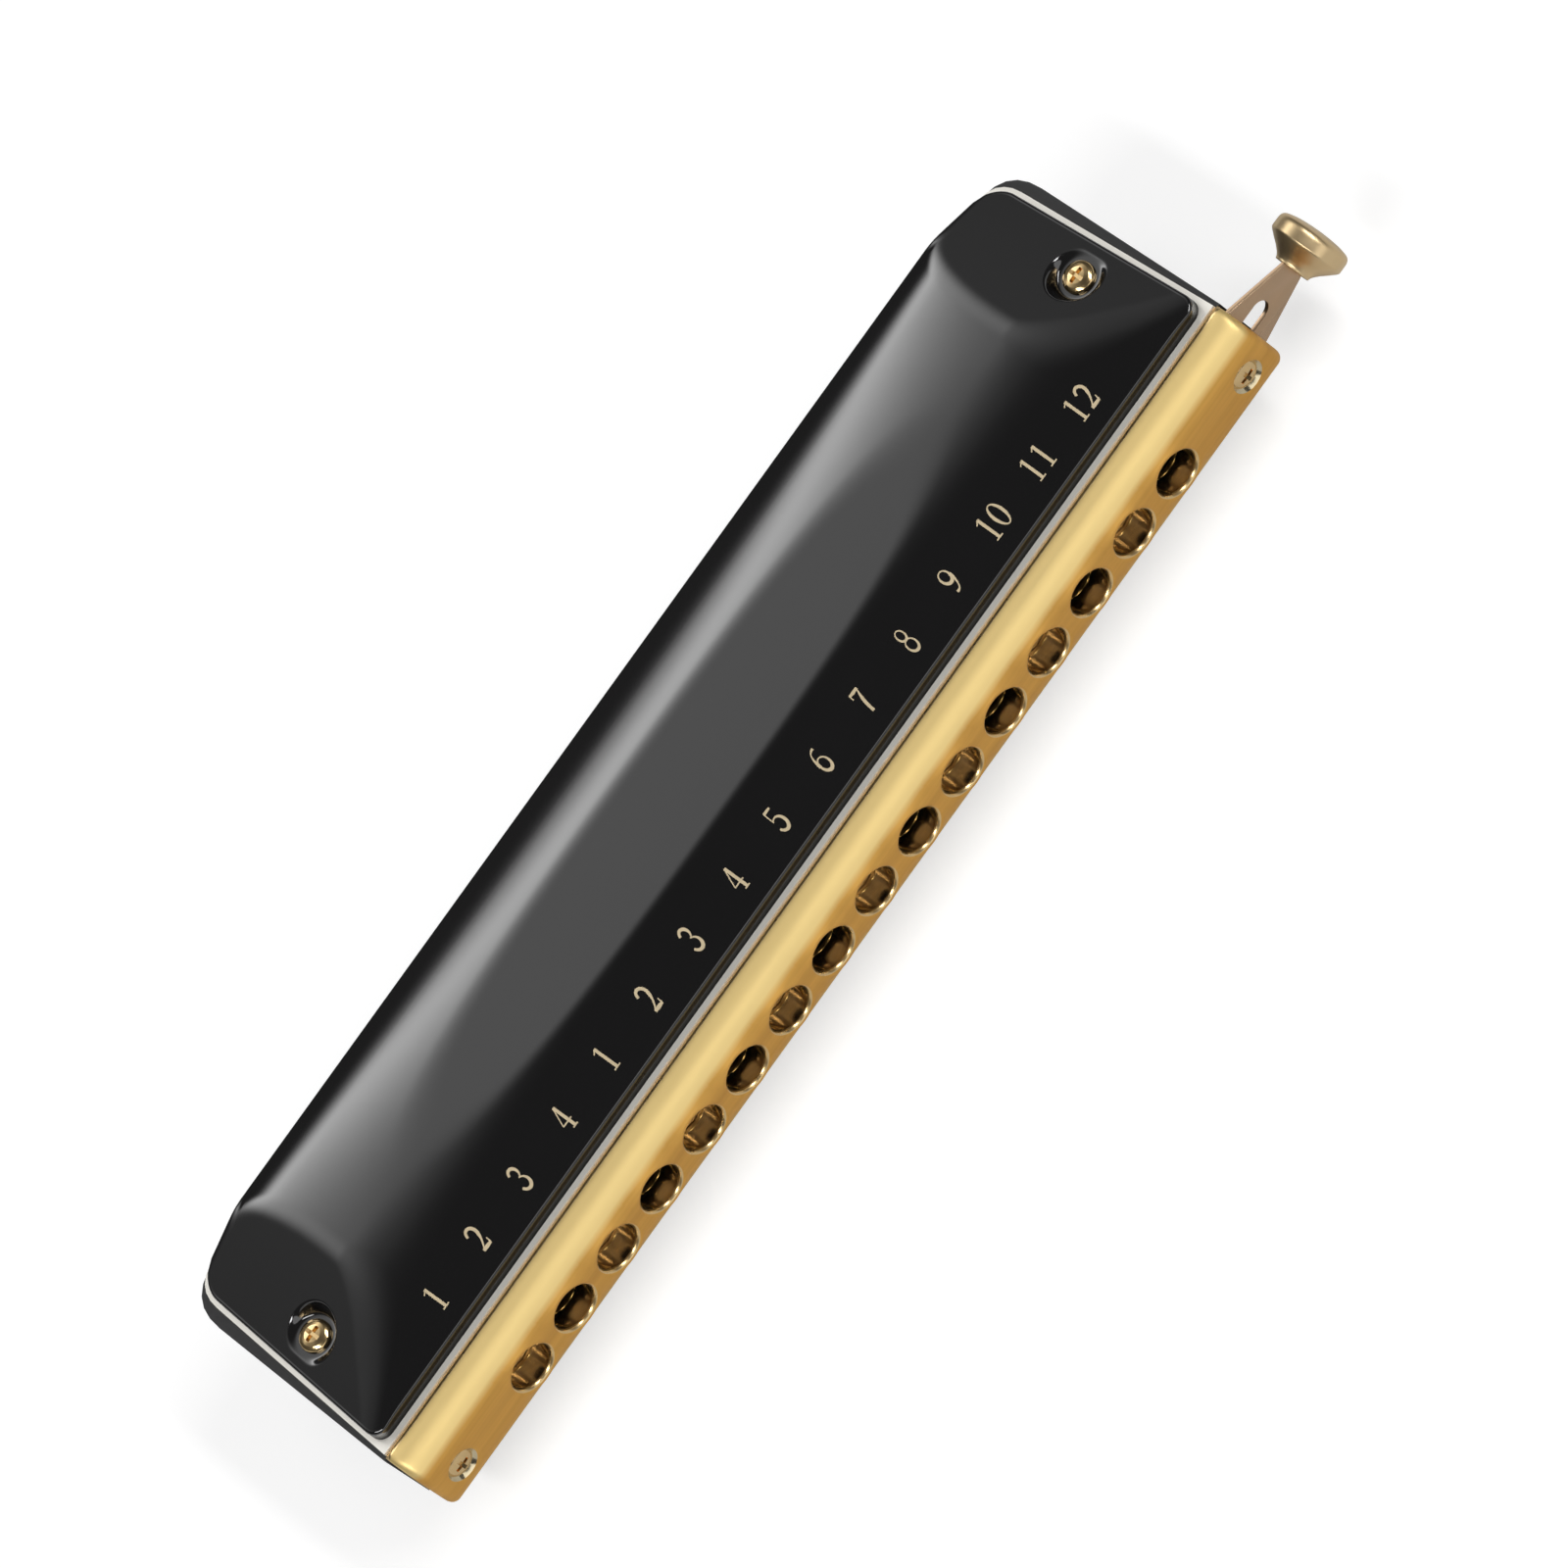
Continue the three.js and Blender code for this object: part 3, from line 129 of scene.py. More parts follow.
class MouthSizes(bpy.types.PropertyGroup):
    """The mouthpiece."""

    half_length: length("Half length", "Middle to end", 91.8)
    depth: length("Depth", "Front to comb", 6.2)
    half_height: length("Half height", "Middle to top", 7)
    edge: length("Edge radius", "Large rounding above and below the front", 4.6)
    back_edge: length("Back edge", "Depth of the rounding along the comb", 0.95)
    back_drop: length("Back drop", "Height of that rounding", 0.6)
    # Painted shade: a darker gilt for the insides of the holes and countersinks
    bright: colour("Bore gilt", "Colour inside the holes", (0.84, 0.72, 0.47))
    end: length("End radius", "Rounding of the ends", 1.3)
    lip_end: length("Lip end radius", "Rounding of the ends beside the channel", 0.7)
    floor: length("Channel floor", "Front to the channel's floor", 4)
    channel: length("Channel half height", "Half the channel for the slide's frame", 6)
    screw_x: length("Screw place", "Middle to a screw", 86.7)
    sink: length("Countersink radius", "Radius of a screw's countersink", 2.5)
    sink_depth: length("Countersink depth", "Depth of a screw's countersink", 1.4)
    bore: length("Screw bore", "Radius of a screw's hole", 1.3)
    tint: colour("Gilt", "Colour of the gilt mouthpiece", (0.95, 0.73, 0.32))
    # Painted shade: a darker orange copy of the gilt that the front takes in place of the shade falling on
    # it
    deep: colour("Deep gilt", "Colour of its front", (0.98, 0.50, 0.125))
    polish: colour("Rim gilt", "Colour of the polished rims", (0.86, 0.62, 0.30))
    gloss: share("Gilt roughness", "Roughness of the gilt", 0.52)


class CoverSizes(bpy.types.PropertyGroup):
    """The covers. Heights are above the reed plate."""

    base: length("Plate face", "Middle of the comb to the plate's outer face", 7)
    front: length("Front edge", "Front to the cover's front edge", 7.1)
    back: length("Back edge", "Front to the cover's open back edge", 44.4)
    comb_front: length("Lean from", "Where the ends start to lean in", 6.2)
    comb_depth: length("Lean over", "Depth over which the ends lean in", 40.6)
    half_front: length("Front half length", "Middle to end at the front", 90.75)
    half_back: length("Back half length", "Middle to end at the back", 88.25)
    front_corner: length("Front corner", "Radius in plan", 2.2)
    back_corner: length("Back corner", "Radius in plan", 3.8)
    height: length("Height", "Plate to the flat of the crown", 8)
    skirt: length("Skirt", "Plate to the foot of the front slope", 2.1)
    land_run: length("Land run", "Length of the sloping land at each end", 17.4)
    crown_depth: length("Crown", "Front edge to the crown", 17.9)
    roll: length("Roll", "Depth of the rolled back edge", 6)
    roll_lean: length("Roll lean", "How far the back edge leans down", 0.82)
    roll_drop: length("Roll drop", "How far it rolls down besides", 0.7)
    roll_sharp: length("Roll ease", "Keeps the roll from standing upright", 0.1)
    sag: length("Back sag", "Fall from the crown to the roll", 0.9)
    lip: length("Lip", "Plate to the underside of the back lip", 4.95)
    pillow: length("Pillow", "Swelling that the flat cuts off", 0.48)
    pillow_back: length("Pillow back", "Depth of the swelling behind the crown", 19.3)
    flat: length("Flat half length", "Middle to the tip of the flat", 56)
    wall: length("Wall", "Thickness", 0.9)
    soft_land: length("Land softness", "Rounding between dome and land at the back", 0.5)
    soft_front: length("Front softness", "Added rounding there towards the front", 2.2)
    soft_flat: length("Flat softness", "Rounding round the flat", 0.12)
    side_edge: length("Side edge radius", "Rounding along the ends", 0.45)
    screw_x: length("Screw place", "Middle to a cover screw", 84.5)
    screw_y: length("Screw depth", "Front to a cover screw", 24)
    dimple_floor: length("Dimple floor", "Plate to the floor of a dimple", 2.7)
    boss: length("Boss radius", "Radius of the boss under a dimple", 3.7)
    bore: length("Upper bore", "Radius of the screw's hole", 1.3)
    nut_bore: length("Lower bore", "Radius of the nut's hole", 1.9)
    tint: colour("Lacquer", "Colour of the black lacquer", (0.0048, 0.0046, 0.0048))
    gloss: share("Lacquer roughness", "Roughness of the lacquer", 0.1)


class SlideSizes(bpy.types.PropertyGroup):
    """The slide and its button."""

    front: length("Front", "Front to the slide's front face", 4.6)
    thickness: length("Thickness", "Of the slide", 0.7)
    half_height: length("Half height", "Half the height of the slide", 5.4)
    inner_end: length("Inner end", "Middle to the slide's inner end", 86)
    travel: length("Travel", "How far the slide is pressed in", 4.6)
    foot: length("Button foot", "Middle to the button's foot", 101.4)
    tongue: length("Tongue", "How far the slide reaches into the button", 1.9)
    neck: length("Neck half height", "Half the neck at the button", 2.3)
    drop: length("Neck drop", "How far the neck lies below the middle", 0.8)
    slot: length("Slot radius", "Half the width of the slots at the screws", 1.65)
    bumper: length("Slot play", "Screw to the end of its slot at rest", 1.7)
    slot_out: length("Slot end", "Middle to the outer end of the right slot", 96.1)
    window: length("Window width", "Of a window", 4)
    window_low: length("Window foot", "Middle to a window", 0.75)
    window_high: length("Window top", "Middle to a window's far side", 3.75)
    edge: length("Edge break", "Broken edges of the stamped plate", 0.08)
    spring_x: length("Spring hole", "Middle to the spring's hole", 78)
    spring_r: length("Spring hole radius", "Radius of the spring's hole", 0.65)
    button: length("Button radius", "Radius of the button's face", 5.4)
    button_foot: length("Foot radius", "Radius of the button's foot", 2.6)
    cone: length("Cone", "Length of the button's flare", 2.9)
    rim: length("Rim", "Width of the button's rim", 2.4)
    dome: length("Dome", "Rise of the button's face", 0.8)
    tint: colour("Slide metal", "Colour of the slide", (0.56, 0.39, 0.25))
    knob: colour("Button gilt", "Colour of the button", (0.82, 0.62, 0.35))


class SpringSizes(bpy.types.PropertyGroup):
    """The hairpin spring that pushes the slide out."""

    wire: length("Wire radius", "Radius of the wire", 0.35)
    coil: length("Coil radius", "Middle of the coil to the middle of the wire", 1.9)
    pitch: length("Coil pitch", "Rise in one turn", 0.95)
    turns: number("Turns", "Turns of the coil", 1.5, min=0.5)
    coil_x: length("Coil place", "Middle to the coil", 80.6)
    coil_y: length("Coil depth", "Front to the coil", 15.2)
    rest_x: length("Resting leg", "Middle to the leg at the pocket's wall", 83.95)
    rest_y: length("Resting leg end", "Front to the end of that leg", 6.85)
    push_y: length("Pushing leg end", "Front to the end of the leg in the slide", 4.7)
    bend: length("Bend", "Rounding where the wire turns", 1.5)
    give_x: length("Give along", "Length over which the pushing leg gives, along the slide", 4.07)
    give_y: length("Give across", "Length over which it gives, from back to front", 2.35)


class ScrewSizes(bpy.types.PropertyGroup):
    """Cover screws, nuts and mouthpiece screws."""

    head: length("Cover screw head", "Radius", 2.35)
    head_rise: length("Head rise", "Height of a cover screw's head", 1.1)
    shank: length("Shank", "Radius of a shank", 1)
    sleeve: length("Nut sleeve", "Radius of the nut's sleeve", 1.6)
    sleeve_length: length("Sleeve length", "Length of the nut's sleeve", 2.4)
    nut_bore: length("Nut bore", "Radius", 1.3)
    mouth_head: length("Mouthpiece screw head", "Radius", 2.05)
    mouth_dome: length("Mouthpiece head rise", "Rise of its dome", 0.45)
    mouth_sunk: length("Mouthpiece head place", "How far its dome lies behind the front", 0.12)
    mouth_rise: length("Mouthpiece head depth", "Depth of its cone", 1.2)
    mouth_length: length("Mouthpiece screw", "Length", 15)
    cross: length("Cross width", "Width of the recess", 0.66)
    cross_depth: length("Cross depth", "Depth of the recess", 0.7)
    slit: length("Slit width", "Width of a nut's slit", 0.7)
    tint: colour("Screw gilt", "Colour of the screws", (0.83, 0.60, 0.30))


class ReedSizes(bpy.types.PropertyGroup):
    """Rivets and valves on the reed plates."""

    plate: length("Plate face", "Middle of the comb to the plate's outer face", 7)
    slot_front: length("Slot front", "Front to the slots", 11.6)
    longest: length("Longest slot", "At the first hole", 23)
    shortest: length("Shortest slot", "At the last hole", 9)
    spacing: length("Reed spacing", "Outer reed to inner reed", 3.5)
    pad: length("Pad", "Length of a reed's pad", 2.7)
    reed_top: length("Reed rise", "Top of a pad above the plate", 0.25)
    rivet: length("Rivet radius", "Radius of a rivet's head", 0.62)
    rivet_rise: length("Rivet rise", "Height of a rivet's head", 0.28)
    valve_width: length("Valve width", "Width of a valve", 2.7)
    valve_film: length("Valve film", "Thickness of a valve", 0.12)
    valve_over: length("Valve overlap", "How far a valve reaches past its slot", 0.8)
    film: colour("Valve film", "Colour of the valves", (0.74, 0.70, 0.62))


class PrintSizes(bpy.types.PropertyGroup):
    """The printed numbers."""

    centre: length("Centre", "Front to the middle of the numbers", 10.9)
    tall: length("Height", "Height of a number in plan", 3.3)
    wide: length("Width", "Width of a digit", 1.95)
    spread: length("Spread", "From one digit to the next in a number", 2.35)
    proud: length("Film", "Thickness of the printed film", 0.02)
    tint: colour("Print", "Colour of the printed numbers", (0.60, 0.49, 0.31))


class StageSettings(bpy.types.PropertyGroup):
    """Floor, lamps and camera."""

    floor: colour("Floor", "Colour of the floor", (0.86, 0.86, 0.86))
    base: number("Room light", "Light from every side", 0.07, min=0)
    bank: number("Bank light", "Light of the bank behind the covers", 4.6, min=0)
    bank_height: number("Bank height", "Angle of the bank", 0.68, subtype="ANGLE")
    bank_fade: number("Bank fade", "Angle over which it fades upwards", 0.155, subtype="ANGLE")
    bank_foot: number("Bank foot", "Angle over which it ends below", 0.063, subtype="ANGLE")
    bank_width: number("Bank width", "Sine of its half width", 0.39, min=0.05)
    reach: length("Camera distance", "Camera to the harmonica", 2997)
    lens: number("Lens", "Focal length", 532, min=50, unit="CAMERA")


class HarmonicaSettings(bpy.types.PropertyGroup):
    """All that can be set."""

    row: PointerProperty(type=RowSizes)
    mouth: PointerProperty(type=MouthSizes)
    cover: PointerProperty(type=CoverSizes)
    slide: PointerProperty(type=SlideSizes)
    spring: PointerProperty(type=SpringSizes)
    screw: PointerProperty(type=ScrewSizes)
    reed: PointerProperty(type=ReedSizes)
    number: PointerProperty(type=PrintSizes)
    stage: PointerProperty(type=StageSettings)


# Mesh making

class Skin:
    """The points and faces of one piece, in millimetres about the middle of the front."""

    def __init__(self):
        self.points = []
        self.faces = []
        self.marks = []

    def row(self, points):
        """Adds points and gives their numbers."""
        first = len(self.points)
        self.points.extend(points)
        return list(range(first, len(self.points)))

    def face(self, corners, mark=0):
        """Adds a face, marked with the number of its finish, unless its points fall together."""
        if len(set(corners)) > 2:
            self.faces.append(tuple(corners))
            self.marks.append(mark)

    def strip(self, a, b, closed=True, mark=0):
        """Joins two rows of the same count by four-sided faces."""
        count = len(a)
        for i in range(count if closed else count - 1):
            k = (i + 1) % count
            self.face((a[i], a[k], b[k], b[i]), mark)

    def rings(self, rings, mark=0):
        """Joins each ring of points to the next, and gives the first and last rows."""
        rows = [self.row(points) for points in rings]
        for a, b in zip(rows, rows[1:]):
            self.strip(a, b, mark=mark)
        return rows[0], rows[-1]

    def grid(self, table, windows=(), mark=0):
        """Joins a table of points, but for windows given as column and row ranges."""
        rows = [self.row(points) for points in table]
        for j in range(len(rows) - 1):
            for i in range(len(rows[0]) - 1):
                if not any(a <= i < b and c <= j < d for a, b, c, d in windows):
                    shade = mark(j) if callable(mark) else mark
                    self.face((rows[j][i], rows[j][i + 1], rows[j + 1][i + 1], rows[j + 1][i]), shade)
        return rows

    def piece(self, name, finishes, angle=32):
        """The piece as an object whose place is in its mesh."""
        mesh = bpy.data.meshes.new(name)
        mesh.from_pydata([place(*p) for p in self.points], [], self.faces)
        for material in finishes:
            mesh.materials.append(material)
        mesh.polygons.foreach_set("material_index", self.marks)
        return smooth(show(name, welded(mesh)), angle)


def welded(mesh, gap=0.004):
    """A mesh with its double points joined and its faces turned outwards."""
    work = bmesh.new()
    work.from_mesh(mesh)
    bmesh.ops.remove_doubles(work, verts=work.verts, dist=gap * MM)
    bmesh.ops.recalc_face_normals(work, faces=work.faces)
    work.to_mesh(mesh)
    work.free()
    return mesh


def show(name, data):
    """A mesh or a curve as an object in the scene."""
    made = bpy.data.objects.new(name, data)
    bpy.context.scene.collection.objects.link(made)
    return made


def smooth(made, angle):
    """Shades a piece smooth, but for edges sharper than the angle in degrees."""
    made.data.shade_smooth()
    made.data.set_sharp_from_angle(angle=math.radians(angle))
    return made


def frame_of(rows, window):
    """The rows' numbers round a window, from its low corner, turning from columns to rows."""
    a, b, c, d = window
    low = [rows[c][i] for i in range(a, b)]
    right = [rows[j][b] for j in range(c, d)]
    high = [rows[d][i] for i in range(b, a, -1)]
    left = [rows[j][a] for j in range(d, c, -1)]
    return low + right + high + left


def circle(count):
    """Angles once round."""
    return [2 * math.pi * i / count for i in range(count)]


def turns(loop):
    """Angles round a hole, one for each point of its square window, from the window's low corner."""
    return [math.pi * 1.25 + t for t in circle(len(loop))]


def hole_x(row, index):
    """Place of a mouth hole along the row."""
    return (index - (row.count - 1) / 2) * row.pitch


def soft_min(a, b, k):
    """The lower of two heights, with a round of reach k between them."""
    h = max(k - abs(a - b), 0) / k
    return min(a, b) - h * h * k / 4


def spaced(a, b, count):
    """Places from a to b, without b."""
    return [a + (b - a) * i / count for i in range(count)]


# The most of a side that a rounded corner takes up
ROUND_SHARE = 0.45


def lathe(profile, sides, axis="z"):
    """A closed turned form: the profile's radii and heights about an axis."""
    skin = Skin()
    rows = []
    for r, h in profile:
        if r < 1e-6:
            rows.append(skin.row([(0, 0, h)]) * sides)
        else:
            rows.append(skin.row([(r * math.cos(t), r * math.sin(t), h) for t in circle(sides)]))
    for a, b in zip(rows, rows[1:]):
        for i in range(sides):
            k = (i + 1) % sides
            skin.face(list(dict.fromkeys((a[i], a[k], b[k], b[i]))))
    if axis == "x":
        skin.points = [(z, y, -x) for x, y, z in skin.points]
    return skin


def rounded(points, radius, steps=5):
    """An open profile with its inner corners rounded, each over less than half of its sides."""
    made = [points[0]]
    for before, corner, after in zip(points, points[1:], points[2:]):
        a, b, c = Vector(before), Vector(corner), Vector(after)
        r = min(radius, (a - b).length * ROUND_SHARE, (c - b).length * ROUND_SHARE)
        start = b + (a - b).normalized() * r
        end = b + (c - b).normalized() * r
        for i in range(steps + 1):
            t = i / steps
            made.append(tuple(start * (1 - t) ** 2 + b * 2 * t * (1 - t) + end * t ** 2))
    made.append(points[-1])
    return made


# Node making

class Value:
    """A socket of a node tree, which adds its Math nodes when it is reckoned with."""

    def __init__(self, tree, socket):
        self.tree = tree
        self.socket = socket

    def math(self, operation, *others):
        """The value put through a Math node with others."""
        return reckon(self.tree, operation, self, *others)

    def __add__(self, other):
        return self.math("ADD", other)

    def __sub__(self, other):
        return self.math("SUBTRACT", other)

    def __rsub__(self, other):
        return reckon(self.tree, "SUBTRACT", other, self)

    def __mul__(self, other):
        return self.math("MULTIPLY", other)

    def __truediv__(self, other):
        return self.math("DIVIDE", other)

    def __pow__(self, other):
        return self.math("POWER", other)

    def clamped(self):
        """The value kept between 0 and 1."""
        return self.math("MAXIMUM", 0.0).math("MINIMUM", 1.0)


def reckon(tree, operation, *terms):
    """The result of a Math node on values and numbers."""
    node = tree.nodes.new("ShaderNodeMath")
    node.operation = operation
    for slot, term in zip(node.inputs, terms):
        join(tree, slot, term)
    return Value(tree, node.outputs[0])


def join(tree, slot, value):
    """Links a value to a socket, or sets the socket."""
    if isinstance(value, Value):
        tree.links.new(value.socket, slot)
    elif value is not None:
        slot.default_value = value


class Recipe:
    """The nodes of a material, of the world or of a group."""

    def __init__(self, tree):
        self.tree = tree
        tree.nodes.clear()

    def add(self, kind, settings=None, inputs=None, output=0):
        """Adds a node with its settings and the values or links of its sockets."""
        node = self.tree.nodes.new(kind)
        for key, value in (settings or {}).items():
            setattr(node, key, value)
        for key, value in (inputs or {}).items():
            join(self.tree, node.inputs[key], value)
        return Value(self.tree, node.outputs[output]) if node.outputs else None

    def parts(self, vector):
        """The three parts of a vector."""
        first = self.add("ShaderNodeSeparateXYZ", None, {0: vector})
        return [Value(self.tree, out) for out in first.socket.node.outputs]

    def given(self, name):
        """An input of the group."""
        return self.add("NodeGroupInput", output=name)

    def camera_sees(self):
        """1 where the camera looks straight at the surface or past it."""
        return self.add("ShaderNodeLightPath", output="Is Camera Ray")

    def place(self, scale=(1, 1, 1)):
        """The object's own coordinates, stretched."""
        spot = self.add("ShaderNodeTexCoord", output="Object")
        return self.add("ShaderNodeMapping", None, {"Vector": spot, "Scale": scale})

    def noise(self, scale, stretch=(1, 1, 1), detail=3, roughness=0.55):
        """Noise from 0 to 1 on the object's coordinates."""
        inputs = {"Vector": self.place(stretch), "Scale": scale}
        inputs.update({"Detail": detail, "Roughness": roughness})
        return self.add("ShaderNodeTexNoise", None, inputs, "Fac")

    def rise(self):
        """Height above or below the middle of the comb."""
        return (self.parts(self.place())[2] - MIDDLE_AT).math("ABSOLUTE")

    def mix(self, amount, a, b):
        """A colour between two."""
        settings = {"data_type": "RGBA"}
        return self.add("ShaderNodeMix", settings, {0: amount, 6: a, 7: b}, 2)

    def bump(self, height, strength, depth):
        """A relief, with its depth in millimetres."""
        inputs = {"Height": height, "Strength": strength, "Distance": depth * MM}
        return self.add("ShaderNodeBump", None, inputs)

    def surface(self, inputs):
        """A Principled surface as the material's output."""
        shader = self.add("ShaderNodeBsdfPrincipled", None, inputs)
        self.add("ShaderNodeOutputMaterial", None, {"Surface": shader})


def opaque(tint, factor=1.0):
    """A colour with its strength changed and its alpha added."""
    return (*[min(1, c * factor) for c in tint], 1)


def finish(name, make, *values):
    """The material of that name, made once."""
    found = bpy.data.materials.get(name)
    if not found:
        found = bpy.data.materials.new(name)
        found.use_nodes = True
        make(Recipe(found.node_tree), *values)
    return found


def tones(tint, low, high):
    """A darker and a lighter tone of a colour."""
    return opaque(tint, low), opaque(tint, high)


def grained(r, grain, pair, rough, relief=None, metal=1.0, tone=None):
    """A surface whose tone, roughness and relief follow a grain, unless its tone has its own.

    The pair holds its two tones, rough the part of the roughness that follows the grain and the
    rest, and relief a strength and a depth.
    """
    inputs = {
        "Base Color": r.mix(tone or grain, *pair),
        "Metallic": metal,
        "Roughness": grain * rough[0] + rough[1],
    }
    if relief:
        inputs["Normal"] = r.bump(grain, *relief)
    r.surface(inputs)


# Height above the plate over which the foot of each skirt is painted into shade: there the lacquer turns
# metallic and dull, so the black reflects almost nothing where the cover meets the plate
SKIRT_FOOT_SHADE = 1.5


def lacquer(r, tint, gloss, foot):
    """Black lacquer with a faint orange peel and soft wipe marks, with painted shade at the foot of the
    skirts: dull, metallic black just above the plate.
    """
    wipe = r.noise(34, (1, 2.5, 1), 4)
    peel = r.noise(520, detail=1)
    # Painted shade share: 0 at the plate face, 1 where the full lacquer starts. Below that the black is made
    # metallic, rough and uncoated so it stays dark like shade in the crease
    full = ((r.rise() - foot) / (SKIRT_FOOT_SHADE * MM)).clamped()
    r.surface({
        "Base Color": r.mix(wipe, *tones(tint, 0.85, 1.2)),
        "Metallic": 1 - full,
        "Roughness": wipe * 0.04 + (gloss - 0.02) + (1 - full) * 0.5,
        "Coat Weight": full * full,
        "Coat Roughness": 0.05,
        "Normal": r.bump(peel, 0.05, 0.02),
    })


# Height where the front's painted shade ends, and how much of it comes in per millimetre below that: the
# front takes a darker orange copy of the gilt in place of the shade that falls on it
FRONT_SHADE_TOP = 5.3
FRONT_SHADE_RISE = 1.1


def gilt(r, tint, deep, gloss):
    """Satin gilt, finely brushed lengthwise: pale above and below, with painted shade in front: a darker
    orange copy of the gilt, streaked.
    """
    tone = r.noise(22)
    brush = r.noise(1400, (0.02, 1, 1), 3, 0.6)
    streak = r.noise(420, (0.03, 1, 1), 4, 0.6)
    # Painted shade: below this height the front face takes the darker orange copy of the gilt
    front = ((FRONT_SHADE_TOP - r.rise() / MM) * FRONT_SHADE_RISE).clamped()
    pale = r.mix(tone, *tones(tint, 0.95, 1.05))
    front_shade = r.mix(streak, *tones(deep, 0.6, 1.2))
    r.surface({
        "Base Color": r.mix(front, pale, front_shade),
        "Metallic": 1.0,
        "Roughness": brush * 0.07 + tone * 0.04 + (gloss - 0.05),
        "Normal": r.bump(brush, 0.10, 0.03),
    })


def rim_gilt(r, tint):
    """Gilt polished by the lips on the rims of the holes."""
    grained(r, r.noise(300, detail=2), tones(tint, 0.95, 1.05), (0.06, 0.25))


def button_gilt(r, tint):
    """Turned gilt of the button, a little browner, with fine turning marks."""
    mark = r.noise(1100, (1, 0.1, 0.1), 2)
    grained(r, mark, tones(tint, 0.85, 1.12), (0.08, 0.32), (0.1, 0.03), tone=r.noise(160))


def bore_gilt(r, tint):
    """Gilt inside the holes and countersinks: bored bright, with fine rings, and with painted shade: a
    darker gilt in these recesses.
    """
    grained(r, r.noise(900, (1, 3, 1), 2), tones(tint, 0.7, 0.95), (0.08, 0.12), (0.08, 0.03))


def screw_gilt(r, tint):
    """Bright plated screw heads with small nicks."""
    grained(r, r.noise(900, detail=4), tones(tint, 0.85, 1.1), (0.1, 0.14), (0.15, 0.04))


# From just above a reed plate's outer face down to its inner face
PLATE_SHEET = 1.02


def plate_metal(r, top):
    """Rolled reed plate, bright at its edges, with brass reeds standing on it and under it."""
    brush = r.noise(1100, (0.05, 1, 1), 3)
    tone = r.noise(60)
    rise = r.rise()
    below = rise.math("LESS_THAN", top - PLATE_SHEET * MM)
    reeds = rise.math("GREATER_THAN", top).math("MAXIMUM", below)
    steel = r.mix(tone, (0.87, 0.84, 0.77, 1), (0.95, 0.92, 0.85, 1))
    brass = r.mix(tone, (0.62, 0.42, 0.17, 1), (0.72, 0.50, 0.22, 1))
    r.surface({
        "Base Color": r.mix(reeds, steel, brass),
        "Metallic": 0.45,
        "Roughness": brush * 0.1 + 0.3,
        "Normal": r.bump(brush, 0.05, 0.03),
    })


def slide_metal(r, tint):
    """Plated brass slide, worn by its travel."""
    grained(r, r.noise(240, (0.08, 1, 1), 4), tones(tint, 0.88, 1.12), (0.18, 0.2), (0.1, 0.03))


def sheet_brass(r):
    """Rolled brass of the slide's frame and backing plate."""
    pair = (0.52, 0.36, 0.14, 1), (0.66, 0.47, 0.21, 1)
    grained(r, r.noise(700, (0.06, 1, 1), 3), pair, (0.2, 0.24), (0.12, 0.03))


def moulded(r):
    """Black moulded comb with a fine grain."""
    pair = (0.012, 0.012, 0.013, 1), (0.022, 0.021, 0.022, 1)
    grained(r, r.noise(1600, detail=2), pair, (0.15, 0.4), (0.2, 0.04), 0.0, r.noise(45))


def spring_steel(r):
    """Drawn spring wire."""
    grained(r, r.noise(900, detail=2), ((0.42, 0.42, 0.43, 1), (0.55, 0.55, 0.55, 1)), (0.15, 0.22))


def soft_tube(r):
    """Soft tubing that quiets the slide."""
    pair = (0.62, 0.58, 0.50, 1), (0.70, 0.66, 0.58, 1)
    grained(r, r.noise(400), pair, (0.15, 0.55), (0.2, 0.05), 0.0)


def valve_film(r, tint):
    """Thin matt film with a faint weave."""
    grained(r, r.noise(1500, (1, 0.15, 1), 2), tones(tint, 0.9, 1.08), (0.1, 0.5), (0.2, 0.03), 0.0)


def printed(r, tint):
    """Gold ink, a little uneven."""
    grained(r, r.noise(1800), tones(tint, 0.86, 1.12), (0.12, 0.42), metal=0.25)


# Covers

# Powers of the front slope, of the pillow's fall towards the front and towards the flat's tips
SLOPE_POWER = 2.82
PILLOW_POWER = 1.5
TIP_POWER = 2.6
# How far the pillow bulges on its way down to the front edge
PILLOW_BULGE = 8.6


def arch(s, y):
    """Height of the cover's middle line, without its pillow."""
    crown = s.front + s.crown_depth
    if y <= crown:
        left = min(1, (crown - y) / s.crown_depth)
        return s.skirt + (s.height - s.skirt) * (1 - left ** SLOPE_POWER)
    roll_at = s.back - s.roll
    if y <= roll_at:
        return s.height - s.sag * ((y - crown) / (roll_at - crown)) ** 2
    turn = min(1, (y - roll_at) / (s.roll + s.roll_sharp))
    return s.height - s.sag - s.roll_lean * turn - s.roll_drop * (1 - math.sqrt(max(0, 1 - turn ** 2)))


def pillow(s, x, y):
    """Swelling of the dome, which the flat of the crown cuts off as a lens."""
    crown = s.front + s.crown_depth
    if y < crown:
        t = min(1, (crown - y) / s.crown_depth)
        falls = (1 - t ** PILLOW_POWER) * (1 + PILLOW_BULGE * t * t * (1 - t))
    else:
        falls = max(0, 1 - ((y - crown) / s.pillow_back) ** 2) ** 2
    return s.pillow * (1 - abs(x / s.flat) ** TIP_POWER) * falls


def cover_end(s, y):
    """Half the cover's length at y, before its corners are rounded."""
    return s.half_front - (s.half_front - s.half_back) * (y - s.comb_front) / s.comb_depth


def land(s, x, y):
    """Height of the sloping land at an end."""
    return s.skirt + (s.height - s.skirt) / s.land_run * (cover_end(s, y) - abs(x))


